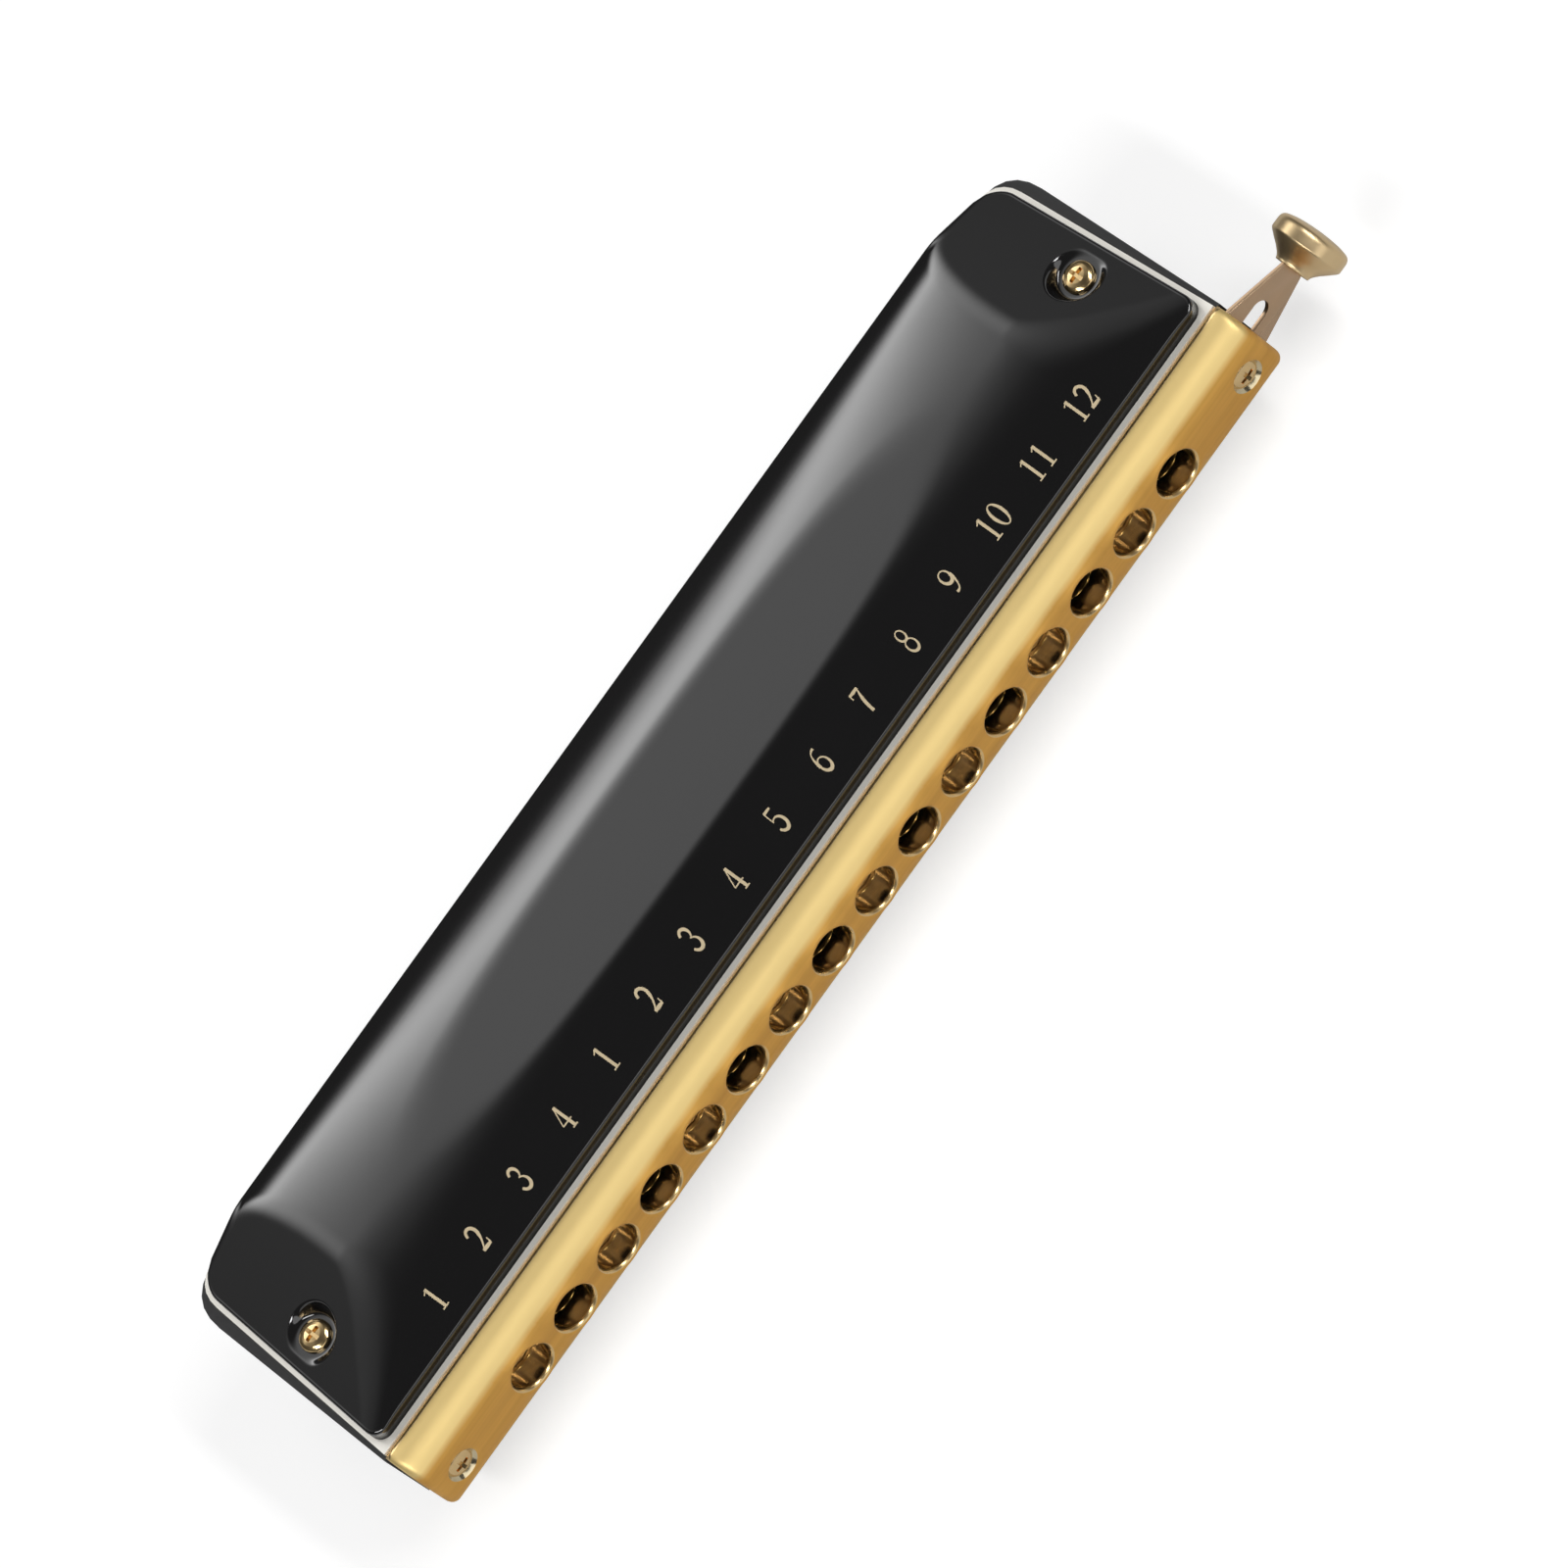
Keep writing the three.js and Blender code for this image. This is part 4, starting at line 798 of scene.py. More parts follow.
def outside(s, x, y):
    """Height of the cover's outside above the plate."""
    dome = soft_min(arch(s, y) + pillow(s, x, y), s.height, s.soft_flat)
    ahead = min(1, max(0, (s.front + s.crown_depth - y) / s.crown_depth))
    return soft_min(dome, land(s, x, y), s.soft_land + s.soft_front * ahead * (1 - ahead ** 3 / 2))


def ceiling(s, x, y):
    """Height of the cover's inside above the plate."""
    step = s.wall / 4
    slope = (arch(s, y + step) - arch(s, y - step)) / (2 * step)
    dome = min(arch(s, y) + pillow(s, x, y), s.height) - s.wall * math.sqrt(1 + slope ** 2)
    if y > s.back - s.roll:
        dome = max(dome, s.lip)
    slant = s.wall * math.sqrt(1 + ((s.height - s.skirt) / s.land_run) ** 2)
    return min(dome, land(s, x, y) - slant)


def cover_plan(s, u, v, inset):
    """The plan place at shares u of the half length and v of the depth, inset from the outline."""
    low, high = s.front + inset, s.back - inset
    y = low + (high - low) * v
    half = cover_end(s, y) - inset
    for gap, radius in ((y - low, s.front_corner - inset), (high - y, s.back_corner - inset)):
        if gap < radius:
            half -= radius - math.sqrt(max(0, radius ** 2 - (radius - gap) ** 2))
    return u * half, y


# Faces along a side of a dimple's window, and the window's margin round the boss
DIMPLE_SIDE = 18
DIMPLE_MARGIN = 0.8
# A cover's columns lie denser from the first share on, its rows up to the second, and at the back
# over this many radii of the corner
DENSE_COLUMNS = 0.80
DENSE_ROWS = 0.08
CORNER_REACH = 1.2
# Faces over the stretches between those places and a dimple's window
COLUMN_FACES = (56, 24)
ROW_FACES = (9, 26, 22, 16)


def cover_shares(s):
    """The grid's columns and rows as shares, and where a dimple's window lies in them."""
    reach = s.boss + DIMPLE_MARGIN
    half = cover_end(s, s.screw_y) - s.side_edge
    inner, outer = (s.screw_x - reach) / half, (s.screw_x + reach) / half
    wide, dense = COLUMN_FACES
    columns = spaced(0, DENSE_COLUMNS, wide) + spaced(DENSE_COLUMNS, inner, dense)
    columns += spaced(inner, outer, DIMPLE_SIDE) + [outer, (1 + outer) / 2, 1]
    depth = s.back - s.front
    near, far = (s.screw_y - reach - s.front) / depth, (s.screw_y + reach - s.front) / depth
    corner = s.back_corner / depth * CORNER_REACH
    front, ahead, behind, back = ROW_FACES
    rows = [DENSE_ROWS * (1 - math.cos(t)) for t in spaced(0, math.pi / 2, front)]
    rows += spaced(DENSE_ROWS, near, ahead) + spaced(near, far, DIMPLE_SIDE)
    rows += spaced(far, 1 - corner, behind)
    rows += [1 - corner * math.cos(t) for t in spaced(0, math.pi / 2, back)] + [1]
    both = [-c for c in reversed(columns[1:])] + columns
    right = len(columns) - 1 + columns.index(inner)
    left = len(both) - 1 - right - DIMPLE_SIDE
    low = rows.index(near)
    high = low + DIMPLE_SIDE
    return both, rows, [(start, start + DIMPLE_SIDE, low, high) for start in (right, left)]


# Radii of a dimple's rings, and the share of its depth that is left at each
DIMPLE_RINGS = [
    (4.3, 1), (4.22, 1), (4.12, 0.985), (4.02, 0.93), (3.92, 0.84), (3.78, 0.68),
    (3.62, 0.48), (3.46, 0.29), (3.3, 0.14), (3.14, 0.05), (2.98, 0.01), (2.84, 0),
]
# Where the land lies below a dimple's floor, the rings keep this many times their share
DIMPLE_RETURN = 4
# Width and depth of the broken edge of the screw's bore
BORE_EDGE = (0.15, 0.12)


def dimple(skin, s, rows, inner_rows, window, side, bore):
    """Sinks a dimple into a window of the outside, and carries its boss down to the plate."""
    start = frame_of(rows, window)
    end = frame_of(inner_rows, window)
    x0, y0 = side * s.screw_x, s.screw_y

    def ring(radius, height):
        """A ring round the screw, at a height that depends on its place."""
        spots = [(x0 + radius * math.cos(t), y0 + radius * math.sin(t)) for t in turns(start)]
        return [(x, y, height(x, y)) for x, y in spots]

    def sunk(x, y, left):
        """The outside drawn towards the dimple's floor, where it stands over it."""
        over = outside(s, x, y) - s.dimple_floor
        return s.dimple_floor + over * (left if over > 0 else min(1, left * DIMPLE_RETURN))

    width, depth = BORE_EDGE
    rings = [ring(radius, lambda x, y: sunk(x, y, left)) for radius, left in DIMPLE_RINGS]
    rings.append(ring((s.boss + bore) / 2, lambda x, y: s.dimple_floor))
    rings.append(ring(bore + width, lambda x, y: s.dimple_floor))
    rings.append(ring(bore, lambda x, y: s.dimple_floor - depth))
    rings.append(ring(bore, lambda x, y: 0.0))
    rings.append(ring(s.boss, lambda x, y: 0.0))
    rings.append(ring(s.boss, lambda x, y: ceiling(s, x, y)))
    first, last = skin.rings(rings)
    skin.strip(start, first)
    skin.strip(end, last)


# How far before the back edge the walls leave the plate, and the least height of a wall there
OPEN_BACK = 1.34
LEAST_WALL = 0.1
# Faces across the rounding of a cover's sides, and its drop as a share of its width
EDGE_STEPS = 5
EDGE_DROP_SHARE = 0.6


def cover_skin(s, bore):
    """A pressed cover with its hollow, standing on the plate."""
    skin = Skin()
    us, vs, windows = cover_shares(s)

    def table(inset, height):
        """The grid's points at a height that depends on their place."""
        plans = [[cover_plan(s, u, v, inset) for u in us] for v in vs]
        return [[(x, y, height(s, x, y)) for x, y in line] for line in plans]

    edge = s.side_edge
    rows = skin.grid(table(edge, outside), windows)
    inner = skin.grid(table(s.wall, ceiling), windows)
    loop = [(u, vs[0]) for u in us[:-1]] + [(us[-1], v) for v in vs[:-1]]
    loop += [(u, vs[-1]) for u in reversed(us[1:])] + [(us[0], v) for v in reversed(vs[1:])]
    ends = (0, len(us) - 1, 0, len(vs) - 1)

    def foot(u, v):
        """Height of the wall's foot: on the plate, but for the open back."""
        if s.back - cover_plan(s, u, v, 0)[1] < OPEN_BACK:
            return max(0.0, ceiling(s, *cover_plan(s, u, v, s.wall)))
        return 0.0

    def rim(turn):
        """A ring of the rounding round the outside."""
        points = []
        for u, v in loop:
            x0, y0 = cover_plan(s, u, v, edge)
            x1, y1 = cover_plan(s, u, v, 0)
            top = outside(s, x0, y0)
            low = max(outside(s, x1, y1) - edge * EDGE_DROP_SHARE, foot(u, v) + LEAST_WALL)
            x, y = cover_plan(s, u, v, edge * (1 - math.sin(turn)))
            points.append((x, y, top - (top - low) * (1 - math.cos(turn))))
        return points

    turned = [rim(t) for t in [*spaced(0, math.pi / 2, EDGE_STEPS)[1:], math.pi / 2]]
    outer_foot = [(*cover_plan(s, u, v, 0), foot(u, v)) for u, v in loop]
    inner_foot = [(*cover_plan(s, u, v, s.wall), foot(u, v)) for u, v in loop]
    first, last = skin.rings([*turned, outer_foot, inner_foot])
    skin.strip(frame_of(rows, ends), first)
    skin.strip(last, frame_of(inner, ends))
    for window, side in zip(windows, (1, -1)):
        dimple(skin, s, rows, inner, window, side, bore)
    return skin


# Mouthpiece

# Marks of the mouthpiece's finishes: satin gilt, bore gilt with painted shade in the holes and countersinks,
# and polished rims
SATIN, SHADED_BORE, POLISHED = 0, 1, 2
# Half the height of the hole windows, and the faces along the sides of hole and countersink windows
WINDOW_REACH = 5.2
WINDOW_SIDE = 10
SINK_SIDE = 6
# Rows of the rounding along the comb, and places of the rows between it and the windows: as shares
# of the large rounding, and as heights in the channel
BACK_ROWS = 6
TURN_SHARES = (0.82, 0.64, 0.48, 0.32, 0.16)
CHANNEL_ROWS = (5.85, 5.7, 5.5, 5.35)
# Columns round the ends as shares of a quarter turn, half a countersink's window, the columns
# between it and the holes, and half the land between two hole windows
END_SHARES = (1, 0.84, 0.67, 0.5, 0.34, 0.17, 0)
SINK_REACH = 3.1
LAND_COLUMNS = (77.8, 80.6)
HALF_LAND = 0.1
# Depth where the ends' rounding starts to shrink to that of the lips, and the depth that it takes
LIP_START = 2.2
LIP_RUN = 2.0
# Width of the ring round a collar, and how much of the front's bend the collar and the rim keep
GUARD = 0.28
COLLAR_BEND = 0.55
RIM_BEND = 0.4
# Steps round a rim, and how many of the guard's, the collar's and the rim's rings stay satin
RIM_STEPS = 6
SATIN_RINGS = 5
# Depths of the rings in a bore, the first one beyond its rim
BORE_START = 0.02
BORE_DEPTHS = (1.6, 2.8)
# Width and depth of the broken edges of a countersink and of its bore
SINK_EDGE = (0.1, 0.06)
SINK_BORE_EDGE = (0.05, 0.1)


def mouth_section(s):
    """Outer and channel profiles in y and z, the row where the hole windows start, and the front."""
    straight = s.half_height - s.edge
    window = [*spaced(-WINDOW_REACH, WINDOW_REACH, WINDOW_SIDE), WINDOW_REACH]

    def front(z):
        """Depth of the outside at a height in the hole windows."""
        beyond = max(0, abs(z) - straight)
        return s.edge - math.sqrt(max(0, s.edge ** 2 - beyond ** 2))

    outer = []
    for t in spaced(0, math.pi / 2, BACK_ROWS):
        drop = s.back_drop * (1 - math.sin(t))
        outer.append((s.depth - s.back_edge * (1 - math.cos(t)), s.half_height - drop))
    outer += [(s.depth - s.back_edge, s.half_height), (s.edge, s.half_height)]
    start = math.asin((WINDOW_REACH - straight) / s.edge)
    for t in TURN_SHARES:
        angle = start + (math.pi / 2 - start) * t
        outer.append((s.edge * (1 - math.cos(angle)), straight + s.edge * math.sin(angle)))
    channel = [(y, s.channel) for y in spaced(s.depth, s.floor, BACK_ROWS + 2)]
    channel.append((s.floor, s.channel))
    channel += [(s.floor, z) for z in CHANNEL_ROWS]
    low = len(outer)
    outer += [(front(z), z) for z in reversed(window)] + [(y, -z) for y, z in reversed(outer)]
    channel += [(s.floor, z) for z in reversed(window)] + [(y, -z) for y, z in reversed(channel)]
    return outer, channel, low, front


def mouth_columns(s, row):
    """Places along the mouthpiece, and the column where each window starts."""
    reach = row.pitch / 2 - HALF_LAND
    ends = [s.half_length - s.end * (1 - math.sin(math.pi / 2 * t)) for t in END_SHARES]
    windows = [("left", -s.screw_x, SINK_REACH, SINK_SIDE)]
    windows += [(i, hole_x(row, i), reach, WINDOW_SIDE) for i in range(row.count)]
    windows.append(("right", s.screw_x, SINK_REACH, SINK_SIDE))
    columns, starts = [-x for x in ends], {}
    for key, x, half, side in windows:
        if key == "right":
            columns += LAND_COLUMNS
        starts[key] = len(columns)
        columns += spaced(x - half, x + half, side) + [x + half]
        if key == "left":
            columns += [-x for x in reversed(LAND_COLUMNS)]
    return columns + ends[::-1], starts


def shrink(s, outer, index, x):
    """A point of the section, drawn in towards the ends by their rounding."""
    spot = Vector(outer[index])
    before, after = Vector(outer[max(0, index - 1)]), Vector(outer[min(len(outer) - 1, index + 1)])
    along = (after - before).normalized()
    inward = Vector((-along.y, along.x))
    lip = min(1, max(0, (spot.x - LIP_START) / LIP_RUN))
    radius = s.end + (s.lip_end - s.end) * lip
    gap = max(0, abs(x) - (s.half_length - s.end)) / s.end
    drawn = radius * (1 - math.sqrt(max(0, 1 - gap ** 2)))
    middle = Vector((s.floor, 0))
    moved = spot - inward * drawn
    if (moved - middle).length > (spot - middle).length:
        moved = spot + inward * drawn
    if index in (0, len(outer) - 1):
        moved.x = s.depth
    return moved.x, moved.y


def upright_ring(x0, angles, radius, depth):
    """Points of a ring in x and z, at a depth that depends on their height."""
    spots = [(x0 + radius * math.cos(t), radius * math.sin(t)) for t in angles]
    return [(x, depth(z), z) for x, z in spots]


def mouth_hole(skin, s, row, front, start, end, x0):
    """A round hole with a collar, a rounded rim and a bright bore."""
    ring = partial(upright_ring, x0, turns(start))
    collar = row.radius + row.rim + row.collar
    rings = [ring(collar + GUARD, front), ring(collar, lambda z: front(z) * COLLAR_BEND)]
    for angle in [*spaced(0, math.pi / 2, RIM_STEPS), math.pi / 2]:
        left = 1 - math.sin(angle)
        depth = row.rim * (1 - math.cos(angle))
        rings.append(ring(row.radius + row.rim * left, lambda z: depth + front(z) * RIM_BEND * left))
    first, edge = skin.rings(rings[:SATIN_RINGS])
    skin.strip(start, first)
    inner, last = skin.rings(rings[SATIN_RINGS:], mark=POLISHED)
    skin.strip(edge, inner, mark=POLISHED)
    depths = (row.rim + BORE_START, *BORE_DEPTHS, s.floor)
    low, high = skin.rings([ring(row.radius, lambda z: y) for y in depths], mark=SHADED_BORE)
    skin.strip(last, low, mark=POLISHED)
    skin.strip(high, end)


def mouth_sink(skin, s, front, start, end, x0):
    """A countersink for a screw."""
    ring = partial(upright_ring, x0, turns(start))
    width, depth = SINK_EDGE
    bore_width, bore_depth = SINK_BORE_EDGE
    edge = skin.row(ring(s.sink + width, front))
    skin.strip(start, edge)
    first, last = skin.rings([
        ring(s.sink, lambda z: depth),
        ring(s.bore + bore_width, lambda z: s.sink_depth),
        ring(s.bore, lambda z: s.sink_depth + bore_depth),
        ring(s.bore, lambda z: s.floor),
    ], mark=SHADED_BORE)
    skin.strip(edge, first)
    skin.strip(last, end)


def mouthpiece_skin(s, row):
    """The gilt bar with its holes, its countersinks and the channel behind."""
    skin = Skin()
    outer, channel, low, front = mouth_section(s)
    xs, starts = mouth_columns(s, row)
    count = len(outer)
    windows = {}
    for key, start in starts.items():
        side = SINK_SIDE if key in ("left", "right") else WINDOW_SIDE
        foot = low + (WINDOW_SIDE - side) // 2
        windows[key] = (start, start + side, foot, foot + side)
    holes = list(windows.values())
    table = [[(x, *shrink(s, outer, k, x)) for x in xs] for k in range(count)]
    last = count - 1 - BACK_ROWS
    face = skin.grid(table, holes, lambda j: SATIN if BACK_ROWS <= j < last else POLISHED)
    trough = skin.grid([[(x, *spot) for x in xs] for spot in channel], holes)
    for k in (0, count - 1):
        skin.strip(face[k], trough[k], closed=False)
    for i in (0, len(xs) - 1):
        skin.strip([r[i] for r in face], [r[i] for r in trough], closed=False)
    for key, window in windows.items():
        start, end = flipped(frame_of(face, window)), flipped(frame_of(trough, window))
        if key in ("left", "right"):
            mouth_sink(skin, s, front, start, end, s.screw_x * (1 if key == "right" else -1))
        else:
            mouth_hole(skin, s, row, front, start, end, hole_x(row, key))
    return skin


def flipped(loop):
    """A window's frame read from its other low corner, where the rows run downwards."""
    side = len(loop) // 4
    turned = list(reversed(loop))
    shift = len(loop) - 1 - 3 * side
    return turned[shift:] + turned[:shift]


# Slide and button

# Steps round the half circle at a slot's end, and round the spring's hole
SLOT_STEPS = 16
HOLE_STEPS = 20


def slot_outline(x0, x1, r):
    """A slot along x with round ends, in x and z."""
    quarter = math.pi / 2
    outline = []
    for x, start in ((x1 - r, -quarter), (x0 + r, quarter)):
        turned = spaced(start, start + math.pi, SLOT_STEPS)
        outline += [(x + r * math.cos(t), r * math.sin(t)) for t in turned]
    return outline


def box_outline(x0, x1, z0, z1):
    """The corners of a box in x and z."""
    return [(x0, z0), (x1, z0), (x1, z1), (x0, z1)]


def slide_outlines(s, row, mouth):
    """The slide's outline and the outlines that are cut from it."""
    h, d, n = s.half_height, -s.drop, s.neck
    tip = s.foot + s.tongue
    shape = [(-s.inner_end, -h), (mouth.half_length, -h), (s.foot, d - n), (tip, d - n)]
    shape += [(tip, d + n), (s.foot, d + n), (mouth.half_length, h), (mouth.screw_x + s.bumper, h)]
    notch = -mouth.screw_x + s.bumper + s.travel - s.slot
    turned = spaced(math.pi / 2, -math.pi / 2, SLOT_STEPS)
    arc = [(notch + s.slot * math.cos(t), s.slot * math.sin(t)) for t in turned]
    shape += [(-s.inner_end, h), (-s.inner_end, s.slot), *arc]
    shape += [(notch, -s.slot), (-s.inner_end, -s.slot)]
    cuts = [slot_outline(mouth.screw_x - s.bumper, s.slot_out, s.slot)]
    hole = [(s.spring_r * math.cos(t), s.spring_r * math.sin(t)) for t in circle(HOLE_STEPS)]
    cuts.append([(x - s.spring_x, z) for x, z in hole])
    for i in range(row.count):
        x = hole_x(row, i)
        up = 1 if i % 2 == 0 else -1
        for centre, side in ((x, up), (x + s.travel, -up)):
            z0, z1 = sorted((side * s.window_low, side * s.window_high))
            cuts.append(box_outline(centre - s.window / 2, centre + s.window / 2, z0, z1))
    return shape, cuts


def stamped(name, shape, cuts, front, thickness, edge, material):
    """A flat plate stamped from outlines in x and z, with its edges broken."""
    curve = bpy.data.curves.new(name, "CURVE")
    curve.dimensions = "2D"
    curve.fill_mode = "BOTH"
    curve.extrude = thickness / 2 - edge
    curve.bevel_depth = edge
    curve.bevel_resolution = 2
    curve.offset = -edge
    for outline in [shape, *cuts]:
        spline = curve.splines.new("POLY")
        spline.points.add(len(outline) - 1)
        for point, (x, z) in zip(spline.points, outline):
            point.co = (x, z, 0, 1)
        spline.use_cyclic_u = True
    drawn = show(name + "_outline", curve)
    depsgraph = bpy.context.evaluated_depsgraph_get()
    mesh = bpy.data.meshes.new_from_object(drawn.evaluated_get(depsgraph))
    bpy.data.objects.remove(drawn)
    middle = front + thickness / 2
    for vertex in mesh.vertices:
        x, z, depth = vertex.co
        vertex.co = place(x, middle - depth, z)
    mesh.materials.clear()
    mesh.materials.append(material)
    mesh.name = name
    return smooth(show(name, welded(mesh)), 30)


# The button's profile: distances from its foot, shares of its flare, distances from its rim's end
# and shares of its face
BUTTON_FOOT = ((0, 0), (0.02, 0.3), (0.3, 0.75))
BUTTON_FLARE = ((0.35, 0.5), (0.6, 0.7), (0.94, 1), (1, 1.08))
BUTTON_RIM = ((0, -0.75), (-0.06, -0.4), (-0.22, -0.05), (-0.55, 0.22))
BUTTON_FACE = ((0.76, 0.56), (0.6, 0.76), (0.4, 0.9), (0.2, 0.98), (0, 1))
# Rounding of its corners, and the faces round it
BUTTON_ROUND = 0.22
BUTTON_SIDES = 72


def button_profile(s):
    """Radii and places along the button, from its foot to the middle of its face."""
    foot, r, top = s.button_foot, s.button, s.cone + s.rim
    made = [(0, 0)] + [(foot + a, b) for a, b in BUTTON_FOOT]
    made += [(foot + (r - foot) * a, s.cone * b) for a, b in BUTTON_FLARE]
    made += [(r + a, top + b) for a, b in BUTTON_RIM]
    return made + [(r * a, top + s.dome * b) for a, b in BUTTON_FACE]


# Spring

# Steps along the coil
COIL_STEPS = 48


def spring_path(s, push_x, comb_y):
    """The wire's middle, from the resting leg round the coil to the leg that pushes the slide."""
    x, y, r = -s.coil_x, s.coil_y, s.coil
    low = -s.pitch * s.turns / 2
    coil = []
    for i in range(COIL_STEPS + 1):
        part = i / COIL_STEPS
        turn = math.pi * (1 - 2 * s.turns * part)
        coil.append((x + r * math.cos(turn), y + r * math.sin(turn), low * (1 - 2 * part)))
    rest = [(-s.rest_x, s.rest_y, low), (-s.rest_x, (comb_y + y) / 2 - r, low), (x - r, y - r, low)]
    push = [(x + r, y - r, -low / 2), (-push_x, comb_y + r, 0), (-push_x, s.push_y, 0)]
    return rounded([*rest, coil[0]], s.bend) + coil[1:-1] + rounded([coil[-1], *push], s.bend)


def wire(path, r, sides=16):
    """A round wire along a path, closed at both ends."""
    spots = []
    for a, b in zip(path, path[1:]):
        a, b = Vector(a), Vector(b)
        spots += spaced(a, b, max(1, round((b - a).length / r)))
    spots.append(Vector(path[-1]))
    across = Vector((0, 0, 1))
    rings = []
    for i, spot in enumerate(spots):
        along = (spots[min(i + 1, len(spots) - 1)] - spots[max(i - 1, 0)]).normalized()
        across = (across - along * across.dot(along)).normalized()
        over = along.cross(across)
        ring = [spot + (across * math.cos(t) + over * math.sin(t)) * r for t in circle(sides)]
        rings.append([tuple(point) for point in ring])
    skin = Skin()
    for end in skin.rings(rings):
        skin.face(end)
    return skin


# Screws and copies

def cut_by(body, cutter):
    """The body's mesh with the cutter's form taken out."""
    change = body.modifiers.new("cut", "BOOLEAN")
    change.operation = "DIFFERENCE"
    change.solver = "EXACT"
    change.object = cutter
    return baked(body, [cutter])


def baked(made, helpers=()):
    """A plain mesh in place of an object's live modifiers."""
    depsgraph = bpy.context.evaluated_depsgraph_get()
    mesh = bpy.data.meshes.new_from_object(made.evaluated_get(depsgraph))
    made.modifiers.clear()
    made.data = mesh
    mesh.name = made.name
    for helper in helpers:
        bpy.data.objects.remove(helper)
    return made


def raw(name, skin, material):
    """A skin at the world's origin in metres, as a pattern to be copied."""
    mesh = bpy.data.meshes.new(name)
    mesh.from_pydata([Vector(p) * MM for p in skin.points], [], skin.faces)
    mesh.materials.append(material)
    return show(name, welded(mesh, 0.002))


def bar(lengths, low, high):
    """A box about an axis that runs from low to high, tapered to a narrower foot."""
    (x1, y1), (x0, y0) = lengths
    skin = Skin()
    foot = skin.row([(-x0, -y0, low), (x0, -y0, low), (x0, y0, low), (-x0, y0, low)])
    top = skin.row([(-x1, -y1, high), (x1, -y1, high), (x1, y1, high), (-x1, y1, high)])
    skin.face(foot)
    skin.face(top)
    skin.strip(foot, top)
    return skin


# The foot of a cross recess in shares of its reach and width, and a cutter's rise over a head
CROSS_FOOT = (0.55, 0.36)
CUTTER_RISE = 0.4


def crossed(pattern, s, top, reach):
    """Cuts a cross recess into a screw's head."""
    long, wide = CROSS_FOOT
    across = [(reach, s.cross / 2), (reach * long, s.cross * wide)]
    for lengths in (across, [(b, a) for a, b in across]):
        cutter = bar(lengths, top - s.cross_depth, top + CUTTER_RISE)
        cut_by(pattern, raw("recess", cutter, pattern.data.materials[0]))
    return pattern


def copies_tree():
    """Nodes that copy a shape to each point, stretched by its own amount, in one finish."""
    found = bpy.data.node_groups.get("Copies")
    if found:
        return found
    tree = bpy.data.node_groups.new("Copies", "GeometryNodeTree")
    face = tree.interface
    face.new_socket("Places", in_out="INPUT", socket_type="NodeSocketGeometry")
    face.new_socket("Shape", in_out="INPUT", socket_type="NodeSocketObject")
    size = face.new_socket("Size", in_out="INPUT", socket_type="NodeSocketFloat")
    size.default_value = 1
    face.new_socket("Finish", in_out="INPUT", socket_type="NodeSocketMaterial")
    face.new_socket("Copies", in_out="OUTPUT", socket_type="NodeSocketGeometry")
    r = Recipe(tree)
    shape = r.add("GeometryNodeObjectInfo", None, {"Object": r.given("Shape")}, "Geometry")
    kind, named = {"data_type": "FLOAT_VECTOR"}, {"Name": "stretch"}
    stretch = r.add("GeometryNodeInputNamedAttribute", kind, named, "Attribute")
    scaled = {0: stretch, "Scale": r.given("Size")}
    sized = r.add("ShaderNodeVectorMath", {"operation": "SCALE"}, scaled)
    spots = {"Points": r.given("Places"), "Instance": shape, "Scale": sized}
    laid = r.add("GeometryNodeInstanceOnPoints", None, spots)
    whole = r.add("GeometryNodeRealizeInstances", None, {"Geometry": laid})
    looks = {"Geometry": whole, "Material": r.given("Finish")}
    done = r.add("GeometryNodeSetMaterial", None, looks)
    r.add("NodeGroupOutput", None, {"Copies": done})
    return tree


def copies(name, pattern, places, material, stretches=None):
    """The pattern at each place, as one plain mesh."""
    mesh = bpy.data.meshes.new(name)
    mesh.from_pydata([place(*p) for p in places], [], [])
    values = [v for stretch in (stretches or [(1, 1, 1)] * len(places)) for v in stretch]
    stretched = mesh.attributes.new("stretch", "FLOAT_VECTOR", "POINT")
    stretched.data.foreach_set("vector", values)
    made = show(name, mesh)
    change = made.modifiers.new("Copies", "NODES")
    change.node_group = copies_tree()
    given = {"Shape": pattern, "Size": 1.0, "Finish": material}
    for item in change.node_group.interface.items_tree:
        if item.in_out == "INPUT" and item.name in given:
            change[item.identifier] = given[item.name]
    baked(made, [pattern])
    for extra in list(made.data.attributes):
        if extra.name == "stretch":
            made.data.attributes.remove(extra)
    return smooth(made, 30)


def upside_down(skin):
    """Turns a skin over about x."""
    skin.points = [(x, -y, -z) for x, y, z in skin.points]
    return skin


# Numbers

def bend(x0, y0, x1, y1, cx, cy, count=10):
    """Points of a curve from one place to another, drawn towards a third."""
    points = []
    for i in range(count + 1):
        t = i / count
        a, b, c = (1 - t) ** 2, 2 * t * (1 - t), t ** 2
        points.append((a * x0 + b * cx + c * x1, a * y0 + b * cy + c * y1))
    return points


def oval(cx, cy, rx, ry, start, end, count=22):
    """Points of part of an oval, in degrees from the right, turning left."""
    angles = [math.radians(start + (end - start) * i / count) for i in range(count + 1)]
    return [(cx + rx * math.cos(a), cy + ry * math.sin(a)) for a in angles]


# Widths of the strokes, alone and at both ends and the middle of a stroke
THIN, THICK = 0.045, 0.125
HAIR = (THIN, THIN, THIN)
STEM = (THICK, THICK, THICK)
SWELL = (THIN, THICK, THIN)
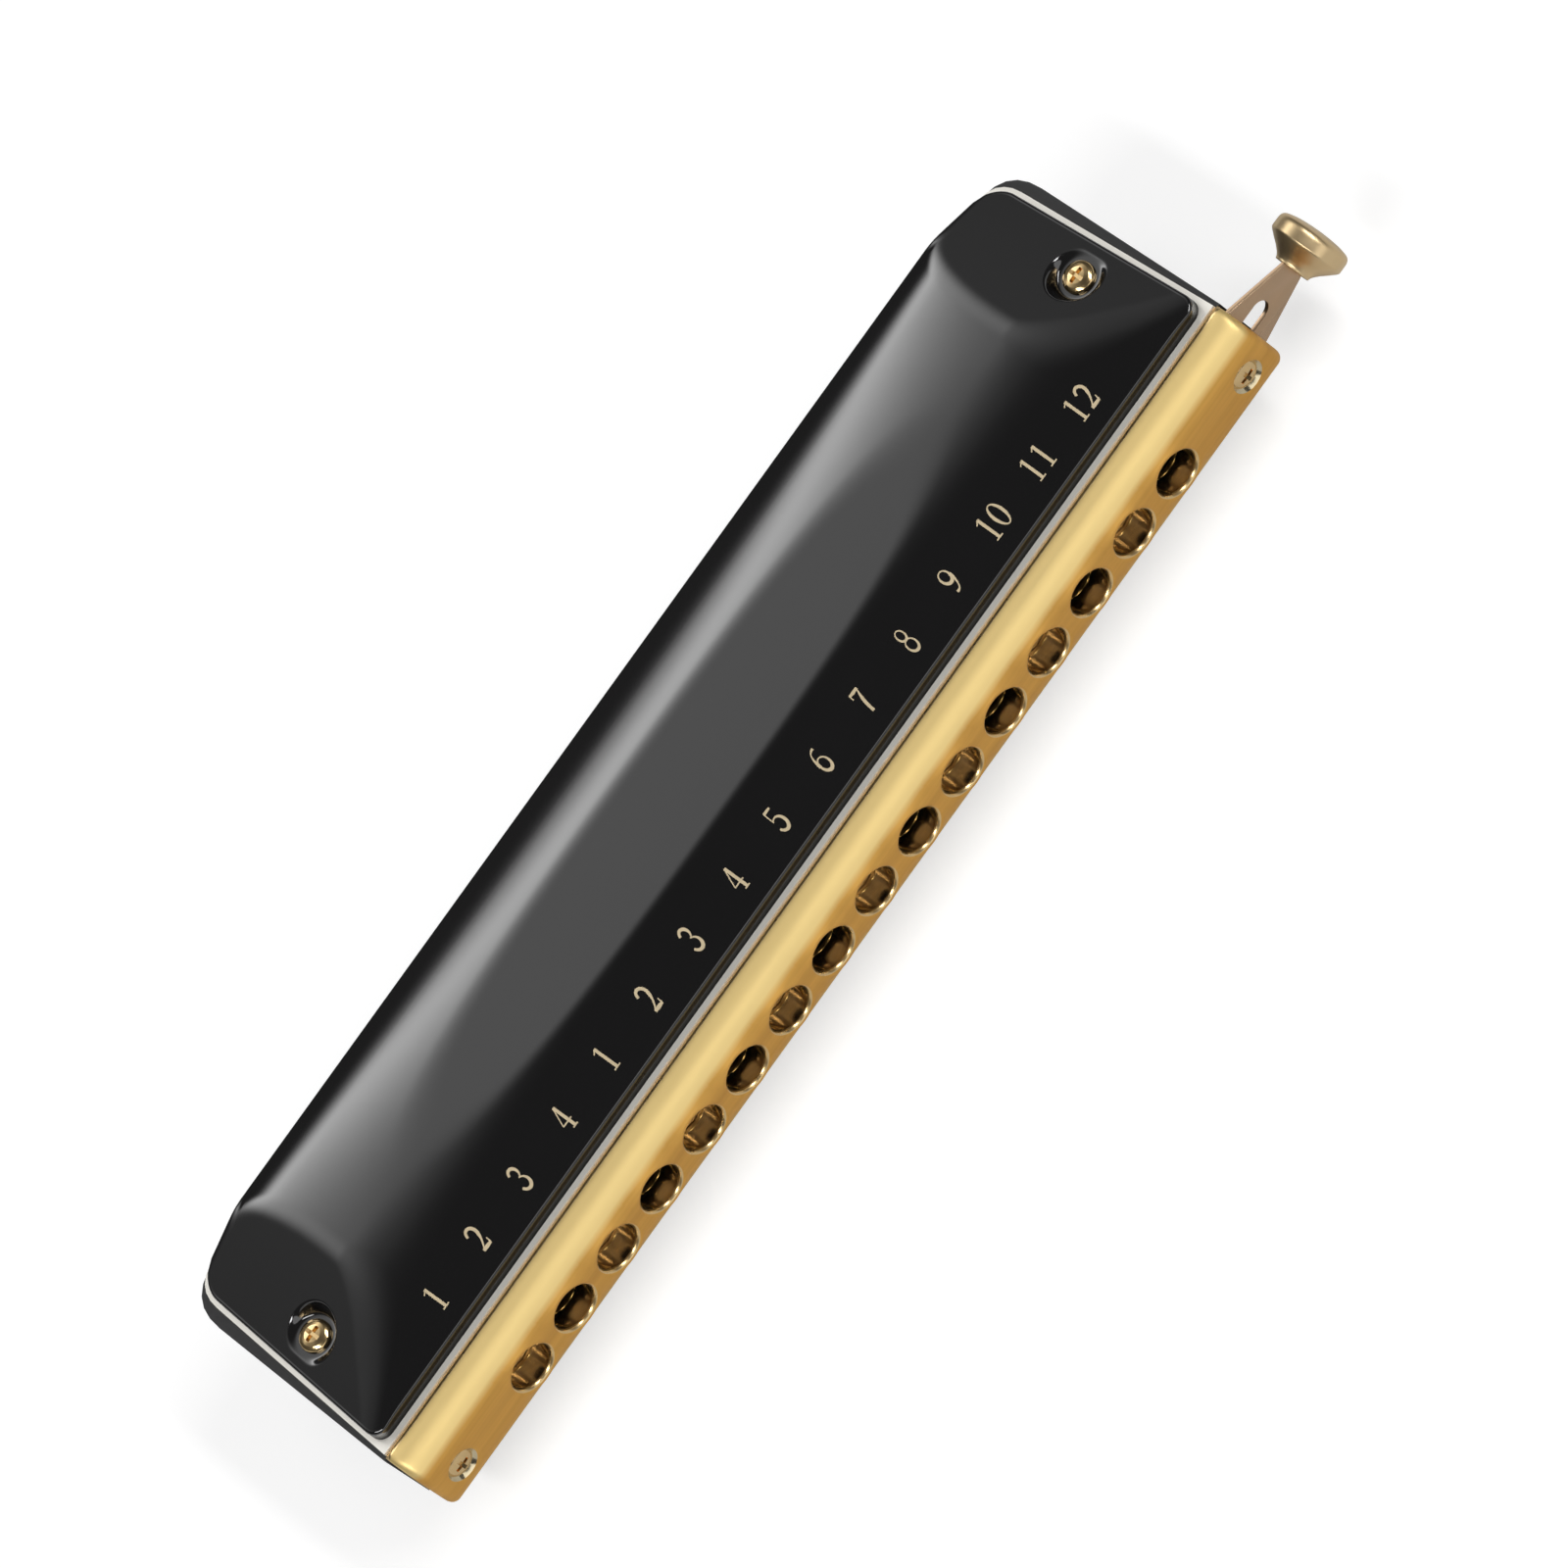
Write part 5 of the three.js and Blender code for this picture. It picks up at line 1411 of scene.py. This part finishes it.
# The strokes of each digit as points and widths, in a box one unit high and this wide
DIGIT_WIDTH = 0.56
DIGITS = {
    "0": [
        (oval(0.28, 0.5, 0.23, 0.46, 90, 270), SWELL),
        (oval(0.28, 0.5, 0.23, 0.46, 270, 450), SWELL),
    ],
    "1": [
        ([(0.3, 0.03), (0.3, 0.97)], STEM),
        ([(0.3, 0.95), (0.12, 0.84)], HAIR),
        ([(0.13, 0.025), (0.47, 0.025)], HAIR),
    ],
    "2": [
        (oval(0.27, 0.7, 0.2, 0.26, 170, -30), (0.1, THICK, THICK)),
        (bend(0.443, 0.57, 0.07, 0.06, 0.36, 0.3), (THICK, 0.07, THIN)),
        ([(0.05, 0.065), (0.49, 0.065)], (0.11, 0.13, 0.09)),
        ([(0.475, 0.08), (0.5, 0.26)], (0.07, THIN, THIN)),
    ],
    "3": [
        (oval(0.26, 0.73, 0.18, 0.22, 165, -80), (0.1, THICK, THIN)),
        (oval(0.25, 0.28, 0.22, 0.24, 85, -165), (THIN, THICK, 0.1)),
    ],
    "4": [
        ([(0.37, 0.03), (0.37, 0.95)], STEM),
        ([(0.36, 0.95), (0.04, 0.3)], HAIR),
        ([(0.03, 0.29), (0.52, 0.29)], HAIR),
        ([(0.24, 0.025), (0.5, 0.025)], HAIR),
    ],
    "5": [
        ([(0.12, 0.93), (0.45, 0.93)], (0.1, 0.1, 0.07)),
        ([(0.12, 0.95), (0.1, 0.5)], HAIR),
        (oval(0.25, 0.32, 0.22, 0.27, 125, -160), (THIN, THICK, 0.1)),
    ],
    "6": [
        (oval(0.27, 0.3, 0.21, 0.26, 90, 450), SWELL),
        (bend(0.44, 0.9, 0.06, 0.32, 0.1, 0.95), (0.09, THIN, THICK)),
    ],
    "7": [
        ([(0.06, 0.91), (0.5, 0.91)], (0.09, 0.12, 0.1)),
        ([(0.07, 0.92), (0.06, 0.74)], HAIR),
        (bend(0.48, 0.9, 0.21, 0.03, 0.24, 0.5), (THIN, THICK, THICK)),
    ],
    "8": [
        (oval(0.28, 0.73, 0.17, 0.22, 90, 450), (THIN, 0.09, THIN)),
        (oval(0.28, 0.27, 0.21, 0.24, 90, 450), (THIN, 0.1, THIN)),
    ],
    "9": [
        (oval(0.28, 0.69, 0.21, 0.26, 90, 450), SWELL),
        (bend(0.5, 0.66, 0.12, 0.09, 0.45, 0.03), (THICK, THIN, 0.09)),
    ],
}
# Longest step along a stroke, in the digits' own units
STROKE_STEP = 0.08
# How far each stroke lies over the one before it
STROKE_RISE = 0.002


def ribbon(points, widths):
    """The two sides of a stroke whose width changes along it."""
    dense = []
    for (x0, y0), (x1, y1) in zip(points, points[1:]):
        steps = max(1, int(math.hypot(x1 - x0, y1 - y0) / STROKE_STEP))
        dense += [(x0 + (x1 - x0) * i / steps, y0 + (y1 - y0) * i / steps) for i in range(steps)]
    dense.append(points[-1])
    left, right = [], []
    last = len(dense) - 1
    for i, (x, y) in enumerate(dense):
        ax, ay = dense[max(0, i - 1)]
        bx, by = dense[min(last, i + 1)]
        size = math.hypot(bx - ax, by - ay) or 1
        t = i / last * 2
        late = int(t >= 1)
        near, far = widths[late:late + 2]
        within = t - late
        half = (near + (far - near) * within * within * (3 - 2 * within)) / 2
        nx, ny = -(by - ay) / size * half, (bx - ax) / size * half
        left.append((x + nx, y + ny))
        right.append((x - nx, y - ny))
    return left, right


def print_digit(skin, p, cover, digit, x0):
    """Lays one digit's strokes on the cover as a thin closed film."""
    for order, (points, widths) in enumerate(DIGITS[digit]):
        sides = []
        for side in ribbon(points, widths):
            for rise in (p.proud + order * STROKE_RISE, -p.proud):
                spots = []
                for gx, gy in side:
                    x = x0 + (gx / DIGIT_WIDTH - 0.5) * p.wide
                    y = p.centre + (gy - 0.5) * p.tall
                    spots.append((x, y, cover.base + outside(cover, x, y) + rise))
                sides.append(skin.row(spots))
        top_left, low_left, top_right, low_right = sides
        round_it = [top_left, top_right, low_right, low_left]
        for a, b in zip(round_it, round_it[1:] + round_it[:1]):
            skin.strip(a, b, closed=False)
        for end in (0, -1):
            skin.face([line[end] for line in round_it])


# Operators

def settings():
    """All that can be set in the scene."""
    return bpy.context.scene.harmonica


def sizes(*keys):
    """Groups of sizes in millimetres."""
    return [plain(getattr(settings(), key)) for key in keys]


def lay(made, body, slot, *nodes):
    """Says which body a piece rides on and which nodes it replaces. The slot is not used."""
    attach(made, body)
    if nodes:
        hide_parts(*nodes)


class HARMONICA_OT_covers(bpy.types.Operator):
    """Make the two pressed covers"""

    bl_idname = "harmonica.covers"
    bl_label = "Covers"

    def execute(self, context):
        s = plain(settings().cover)
        black = finish("black_lacquer", lacquer, tuple(s.tint), s.gloss, s.base * MM)
        for node, side, bore in (("upper_cover", 1, s.bore), ("lower_cover", -1, s.nut_bore)):
            skin = cover_skin(s, bore)
            skin.points = [(x, y, side * (z + s.base)) for x, y, z in skin.points]
            lay(skin.piece(node + "_pressing", [black], 38), "body", "cover_lacquer", node)
        return {"FINISHED"}


class HARMONICA_OT_mouthpiece(bpy.types.Operator):
    """Make the mouthpiece with its holes"""

    bl_idname = "harmonica.mouthpiece"
    bl_label = "Mouthpiece"

    def execute(self, context):
        s, row = sizes("mouth", "row")
        # The bore gilt carries painted shade: a darker gilt inside the holes and countersinks
        bright = finish("bore_gilt", bore_gilt, tuple(s.bright))
        polish = finish("rim_gilt", rim_gilt, tuple(s.polish))
        satin = finish("satin_gilt", gilt, tuple(s.tint), tuple(s.deep), s.gloss)
        made = mouthpiece_skin(s, row).piece("mouthpiece_bar", [satin, bright, polish], 40)
        lay(made, "body", "gilt", "mouthpiece")
        return {"FINISHED"}


class HARMONICA_OT_slide(bpy.types.Operator):
    """Make the slide and its button"""

    bl_idname = "harmonica.slide"
    bl_label = "Slide and button"

    def execute(self, context):
        s, row, mouth = sizes("slide", "row", "mouth")
        metal = finish("worn_slide_metal", slide_metal, tuple(s.tint))
        shape, cuts = slide_outlines(s, row, mouth)
        plate = stamped("slide_plate", shape, cuts, s.front, s.thickness, s.edge, metal)
        lay(plate, "slide", "slide_metal", "slide")
        skin = lathe(rounded(button_profile(s), BUTTON_ROUND, 4), BUTTON_SIDES, "x")
        middle = s.front + s.thickness / 2
        skin.points = [(x + s.foot, y + middle, z - s.drop) for x, y, z in skin.points]
        knob = skin.piece("button_knob", [finish("button_gilt", button_gilt, tuple(s.knob))], 30)
        lay(knob, "slide", "gilt", "button")
        return {"FINISHED"}


class HARMONICA_OT_spring(bpy.types.Operator):
    """Make the spring that bends as the slide is pressed in"""

    bl_idname = "harmonica.spring"
    bl_label = "Slide spring"

    def execute(self, context):
        s, slide, mouth = sizes("spring", "slide", "mouth")
        skin = wire(spring_path(s, slide.spring_x, mouth.depth), s.wire)
        made = skin.piece("slide_spring_wire", [finish("drawn_wire", spring_steel)], 40)
        x, y = -slide.spring_x - s.wire, mouth.depth
        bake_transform(made, "body", "slide", start=place(x - s.give_x, y + s.give_y, 0), end=place(x, y, 0))
        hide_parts("slide_spring")
        return {"FINISHED"}


# Head profiles of the cover screws and mouthpiece screws: shares of the radius, with heights for
# the first and shares of the dome's rise for the second
COVER_HEAD = ((1, 0.0), (1, 0.34), (0.93, 0.6), (0.76, 0.84), (0.5, 1.02))
MOUTH_HEAD = ((1, 0.0), (0.86, 0.42), (0.6, 0.8), (0, 1))
# Reach of their recesses in shares of the radius
COVER_CROSS = 0.62
MOUTH_CROSS = 0.68
# Edge under the mouthpiece screw's dome
MOUTH_EDGE = 0.08
# How much narrower the tips of the screws are, and the length over which they narrow
COVER_TIP = (0.3, 0.5)
MOUTH_TIP = (0.6, 1)
# Height of a nut's straight edge, width of its top as a share, and depth of its slit
NUT_EDGE = 0.55
NUT_TOP = 0.8
SLIT_DEPTH = 0.6
# Rounding of the corners of both kinds of screws
COVER_ROUND = 0.1
MOUTH_ROUND = 0.12
# Faces round screws and nuts, and round a rivet
SCREW_SIDES = 56
RIVET_SIDES = 14


def shank(s, tip, narrow):
    """The profile of a screw from its tip up to the full shank."""
    less, run = narrow
    return [(0, tip), (s.shank - less, tip), (s.shank, tip + run)]


class HARMONICA_OT_screws(bpy.types.Operator):
    """Make the cover screws, their nuts and the mouthpiece screws"""

    bl_idname = "harmonica.screws"
    bl_label = "Screws and nuts"

    def execute(self, context):
        s, cover, mouth = sizes("screw", "cover", "mouth")
        metal = finish("screw_gilt", screw_gilt, tuple(s.tint))
        floor = cover.base + cover.dimple_floor
        self.cover_screws(s, cover, floor, metal)
        self.nuts(s, cover, floor, metal)
        self.mouth_screws(s, mouth, metal)
        return {"FINISHED"}

    def cover_screws(self, s, cover, floor, metal):
        """Screws from the upper cover's dimples down to the lower ones."""
        dome = [(s.head * a, h) for a, h in COVER_HEAD] + [(0, s.head_rise)]
        profile = [*shank(s, -2 * floor, COVER_TIP), (s.shank, 0), *dome]
        turned = raw("cover_screw", lathe(rounded(profile, COVER_ROUND, 3), SCREW_SIDES), metal)
        pattern = crossed(turned, s, s.head_rise, s.head * COVER_CROSS)
        places = [(side * cover.screw_x, cover.screw_y, floor) for side in (-1, 1)]
        heads = copies("cover_screws", pattern, places, metal)
        lay(heads, "body", "gilt_screws", "cover_screw_left", "cover_screw_right")

    def nuts(self, s, cover, floor, metal):
        """Sleeve nuts in the lower cover's dimples."""
        top = s.head_rise
        foot = -s.sleeve_length
        head = [(s.sleeve, 0), (s.head, 0), (s.head, NUT_EDGE), (s.head * NUT_TOP, top)]
        profile = [(s.nut_bore, foot), (s.sleeve, foot), *head, (s.nut_bore, top), (s.nut_bore, foot)]
        pattern = raw("cover_nut", upside_down(lathe(profile, SCREW_SIDES)), metal)
        across = (s.head + 1, s.slit / 2)
        slit = bar([across, across], top - SLIT_DEPTH, top + CUTTER_RISE)
        cut_by(pattern, raw("slit", upside_down(slit), metal))
        places = [(side * cover.screw_x, cover.screw_y, -floor) for side in (-1, 1)]
        nuts = copies("cover_nuts", pattern, places, metal)
        lay(nuts, "body", "gilt_screws", "cover_nut_left", "cover_nut_right")

    def mouth_screws(self, s, mouth, metal):
        """Countersunk screws that run back into the comb."""
        r, up = s.mouth_head, s.mouth_dome
        dome = [(r * a, up * b) for a, b in MOUTH_HEAD]
        cone = [(s.shank, -s.mouth_rise), (r, -MOUTH_EDGE)]
        profile = [*shank(s, -s.mouth_length, MOUTH_TIP), *cone, *dome]
        turned = raw("mouth_screw", lathe(rounded(profile, MOUTH_ROUND, 3), SCREW_SIDES), metal)
        pattern = crossed(turned, s, up, r * MOUTH_CROSS)
        for vertex in pattern.data.vertices:
            x, y, z = vertex.co
            vertex.co = (x, -z, y)
        places = [(side * mouth.screw_x, up + s.mouth_sunk, 0) for side in (-1, 1)]
        made = copies("mouthpiece_screws", pattern, places, metal)
        lay(made, "body", "gilt_screws", "mouthpiece_screw_left", "mouthpiece_screw_right")


# A rivet's profile in shares of its radius and its rise
RIVET_CAP = ((0, -1), (1, -1), (1, 0.35), (0.86, 0.72), (0.5, 0.94), (0, 1))


class HARMONICA_OT_reed_fittings(bpy.types.Operator):
    """Make the rivets and valves of the reed plates"""

    bl_idname = "harmonica.reed_fittings"
    bl_label = "Rivets and valves"

    def execute(self, context):
        s, row = sizes("reed", "row")
        brass = finish("sheet_brass", sheet_brass)
        film = finish("valve_film", valve_film, tuple(s.film))
        rivets, valves, stretches = [], [], []
        for i in range(row.count):
            outer, inner = hole_x(row, i) + s.spacing / 2, hole_x(row, i) - s.spacing / 2
            slot = s.longest + (s.shortest - s.longest) * i / (row.count - 1)
            for side in (-1, 1):
                rivets.append((outer, s.slot_front + slot + s.pad / 2, side * (s.plate + s.reed_top)))
                valves.append((inner, s.slot_front + slot / 2, side * (s.plate + s.valve_film / 2)))
                stretches.append((1, slot + 2 * s.valve_over, 1))
        profile = [(r * s.rivet, h * s.rivet_rise) for r, h in RIVET_CAP]
        pattern = raw("rivet", lathe(profile, RIVET_SIDES), brass)
        lay(copies("reed_rivets", pattern, rivets, brass), "body", "reed_plate_metal")
        # A valve one millimetre long, which is stretched at each place
        across = (s.valve_width / 2, 1 / 2)
        strip = bar([across, across], -s.valve_film / 2, s.valve_film / 2)
        pattern = raw("valve", strip, film)
        lay(copies("reed_valves", pattern, valves, film, stretches), "body", "comb_plastic")
        return {"FINISHED"}


# The last number. The holes left over before its count are numbered from 1 as well
LAST_NUMBER = 12


class HARMONICA_OT_numbers(bpy.types.Operator):
    """Print the hole numbers on the upper cover"""

    bl_idname = "harmonica.numbers"
    bl_label = "Printed numbers"

    def execute(self, context):
        p, cover, row = sizes("number", "cover", "row")
        skin = Skin()
        low = row.count - LAST_NUMBER
        for i in range(row.count):
            text = str(i + 1 if i < low else i - low + 1)
            for k, digit in enumerate(text):
                x = hole_x(row, i) + (k - (len(text) - 1) / 2) * p.spread
                print_digit(skin, p, cover, digit, x)
        ink = finish("printed_gold", printed, tuple(p.tint))
        lay(skin.piece("printed_numbers", [ink], 30), "body", "gilt")
        return {"FINISHED"}


# How far above a reed plate's outer face all is taken for reeds
PLATE_PLAY = 0.02


class HARMONICA_OT_carried(bpy.types.Operator):
    """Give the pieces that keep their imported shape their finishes"""

    bl_idname = "harmonica.carried"
    bl_label = "Comb, plates and small parts"

    def execute(self, context):
        top = (plain(settings().reed).plate + PLATE_PLAY) * MM
        plate = finish("plate_and_reed_metal", plate_metal, top)
        brass = finish("sheet_brass", sheet_brass)
        looks = {
            "comb": finish("moulded_comb", moulded),
            "upper_reed_plate": plate,
            "lower_reed_plate": plate,
            "slide_frame": brass,
            "slide_backing_plate": brass,
            "left_bumper": finish("soft_tube", soft_tube),
            "right_bumper": finish("soft_tube", soft_tube),
        }
        looks.update({name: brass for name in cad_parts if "plate_screw" in name})
        for name, material in looks.items():
            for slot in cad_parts[name].material_slots:
                slot.material = material
        return {"FINISHED"}


# Half the floor's width and its drop under the lowest point, in millimetres
FLOOR_HALF = 6000
FLOOR_DROP = 0.05
# Parts of the floor's colour that the camera and the other rays see, and its glow to the camera
FLOOR_SEEN = 0.62
FLOOR_BOUNCE = 0.7
FLOOR_GLOW = 0.6
# Softness of the light bank's upper edge, and how fast the bank comes up behind the middle
BANK_SOFT = 0.02
BANK_RISE = 3.0
# Name, place and size in metres, and power of each lamp
LAMPS = (
    ("left_lamp", (-1.02, -0.6, 1.5), (0.3, 1.4), 16),
    ("right_lamp", (1.02, -0.6, 1.5), (0.3, 1.4), 16),
    ("front_lamp", (0, -2.0, 0.72), (2.6, 0.8), 8),
)
# Cosine and sine of the camera's slope of 55 degrees and of its roll, and the point it looks at
SLOPE = (0.5736, 0.8192)
ROLL = (0.585, 0.811)
AIM = (0.00896, -0.009, 0.0233)


class HARMONICA_OT_stage(bpy.types.Operator):
    """Make the floor, the lamps and the camera"""

    bl_idname = "harmonica.stage"
    bl_label = "Floor, lamps and camera"

    def execute(self, context):
        s = settings().stage
        self.floor(s)
        self.room(context.scene, s)
        self.lamps()
        self.camera(context.scene, s)
        context.scene.view_settings.view_transform = "Standard"
        return {"FINISHED"}

    def floor(self, s):
        """A wide floor under the harmonica."""
        corners = [(-1, -1), (1, -1), (1, 1), (-1, 1)]
        points = [Vector((x * FLOOR_HALF, y * FLOOR_HALF, -FLOOR_DROP)) * MM for x, y in corners]
        mesh = bpy.data.meshes.new("floor")
        mesh.from_pydata(points, [], [(0, 1, 2, 3)])
        made = show("floor", mesh)
        mesh.materials.append(finish("floor_white", self.white, s.floor))

    def white(self, r, tint):
        """A pale floor that shows near white to the camera and keeps the shadow."""
        cast = r.add("ShaderNodeBsdfDiffuse", None, {"Color": opaque(tint, FLOOR_SEEN)})
        shine = {"Color": (1, 1, 1, 1), "Strength": FLOOR_GLOW}
        glow = r.add("ShaderNodeEmission", None, shine)
        lit = r.add("ShaderNodeAddShader", None, {0: cast, 1: glow})
        bare = r.add("ShaderNodeBsdfDiffuse", None, {"Color": opaque(tint, FLOOR_BOUNCE)})
        both = r.add("ShaderNodeMixShader", None, {0: r.camera_sees(), 1: bare, 2: lit})
        r.add("ShaderNodeOutputMaterial", None, {"Surface": both})

    def room(self, scene, s):
        """The world: a dim room with a bright bank behind the covers, white to the camera."""
        world = bpy.data.worlds.new("room")
        scene.world = world
        world.use_nodes = True
        r = Recipe(world.node_tree)
        x, y, z = r.parts(r.add("ShaderNodeTexCoord", output="Generated"))
        height = z.math("ARCSINE")
        over = (height - s.bank_height).math("MAXIMUM", 0.0) / s.bank_fade
        under = (s.bank_height - height).math("MAXIMUM", 0.0) / s.bank_foot
        soft = (over * over + BANK_SOFT).math("SQRT")
        fall = 0.0 - soft - under ** 2 - (x / s.bank_width) ** 4
        light = fall.math("EXPONENT") * (y * BANK_RISE).clamped() * s.bank + s.base
        seen = r.camera_sees()
        strength = light * (1 - seen) + seen
        glow = r.add("ShaderNodeBackground", None, {"Color": (1, 1, 1, 1), "Strength": strength})
        r.add("ShaderNodeOutputWorld", None, {"Surface": glow})

    def lamps(self):
        """Broad lamps at both ends and one low in front."""
        for name, spot, size, power in LAMPS:
            data = bpy.data.lights.new(name, "AREA")
            data.shape = "RECTANGLE"
            data.size, data.size_y = size
            data.energy = power
            lamp = bpy.data.objects.new(name, data)
            back = Vector(spot).normalized()
            across = Vector((0, 1, 0)).cross(back).normalized()
            turn = Matrix((across, back.cross(across), back)).transposed().to_4x4()
            lamp.matrix_world = Matrix.Translation(spot) @ turn
            bpy.context.scene.collection.objects.link(lamp)

    def camera(self, scene, s):
        """A camera above the front, turned so that the harmonica runs across the picture's corners."""
        data = bpy.data.cameras.new("camera")
        data.sensor_width = 36
        data.lens = s.lens
        data.clip_end = 100
        made = bpy.data.objects.new("camera", data)
        flat, steep = SLOPE
        straight, turned = ROLL
        ahead = Vector((0, flat, -steep))
        above = Vector((0, steep, flat))
        along = Vector((1, 0, 0))
        right = along * straight - above * turned
        up = along * turned + above * straight
        turn = Matrix((right, up, -ahead)).transposed().to_4x4()
        made.matrix_world = Matrix.Translation(Vector(AIM) - ahead * s.reach) @ turn
        scene.collection.objects.link(made)
        scene.camera = made


class HARMONICA_PT_panel(bpy.types.Panel):
    """The harmonica's operators and sizes"""

    bl_idname = "HARMONICA_PT_panel"
    bl_label = "Chromatic Harmonica"
    bl_space_type = "VIEW_3D"
    bl_region_type = "UI"
    bl_category = "Harmonica"

    def draw(self, context):
        for made in OPERATORS:
            self.layout.operator(made.bl_idname)
        chosen = context.scene.harmonica
        for title in ("row", "mouth", "cover", "slide", "spring", "screw", "reed", "number", "stage"):
            group = getattr(chosen, title)
            box = self.layout.box()
            box.label(text=group.bl_rna.name)
            for key in group.bl_rna.properties.keys():
                if key not in ("rna_type", "name"):
                    box.prop(group, key)


OPERATORS = (
    HARMONICA_OT_stage,
    HARMONICA_OT_covers,
    HARMONICA_OT_mouthpiece,
    HARMONICA_OT_slide,
    HARMONICA_OT_spring,
    HARMONICA_OT_screws,
    HARMONICA_OT_reed_fittings,
    HARMONICA_OT_numbers,
    HARMONICA_OT_carried,
)
GROUPS = (
    RowSizes,
    MouthSizes,
    CoverSizes,
    SlideSizes,
    SpringSizes,
    ScrewSizes,
    ReedSizes,
    PrintSizes,
    StageSettings,
    HarmonicaSettings,
)


def register():
    """Adds the classes and the scene's settings."""
    for made in (*GROUPS, *OPERATORS, HARMONICA_PT_panel):
        bpy.utils.register_class(made)
    bpy.types.Scene.harmonica = PointerProperty(type=HarmonicaSettings)


def unregister():
    """Takes them out again."""
    del bpy.types.Scene.harmonica
    for made in reversed((*GROUPS, *OPERATORS, HARMONICA_PT_panel)):
        bpy.utils.unregister_class(made)


def main():
    """Makes the harmonica, one operator after the other."""
    register()
    for made in OPERATORS:
        group, name = made.bl_idname.split(".")
        getattr(getattr(bpy.ops, group), name)()


if __name__ == "__main__":
    main()
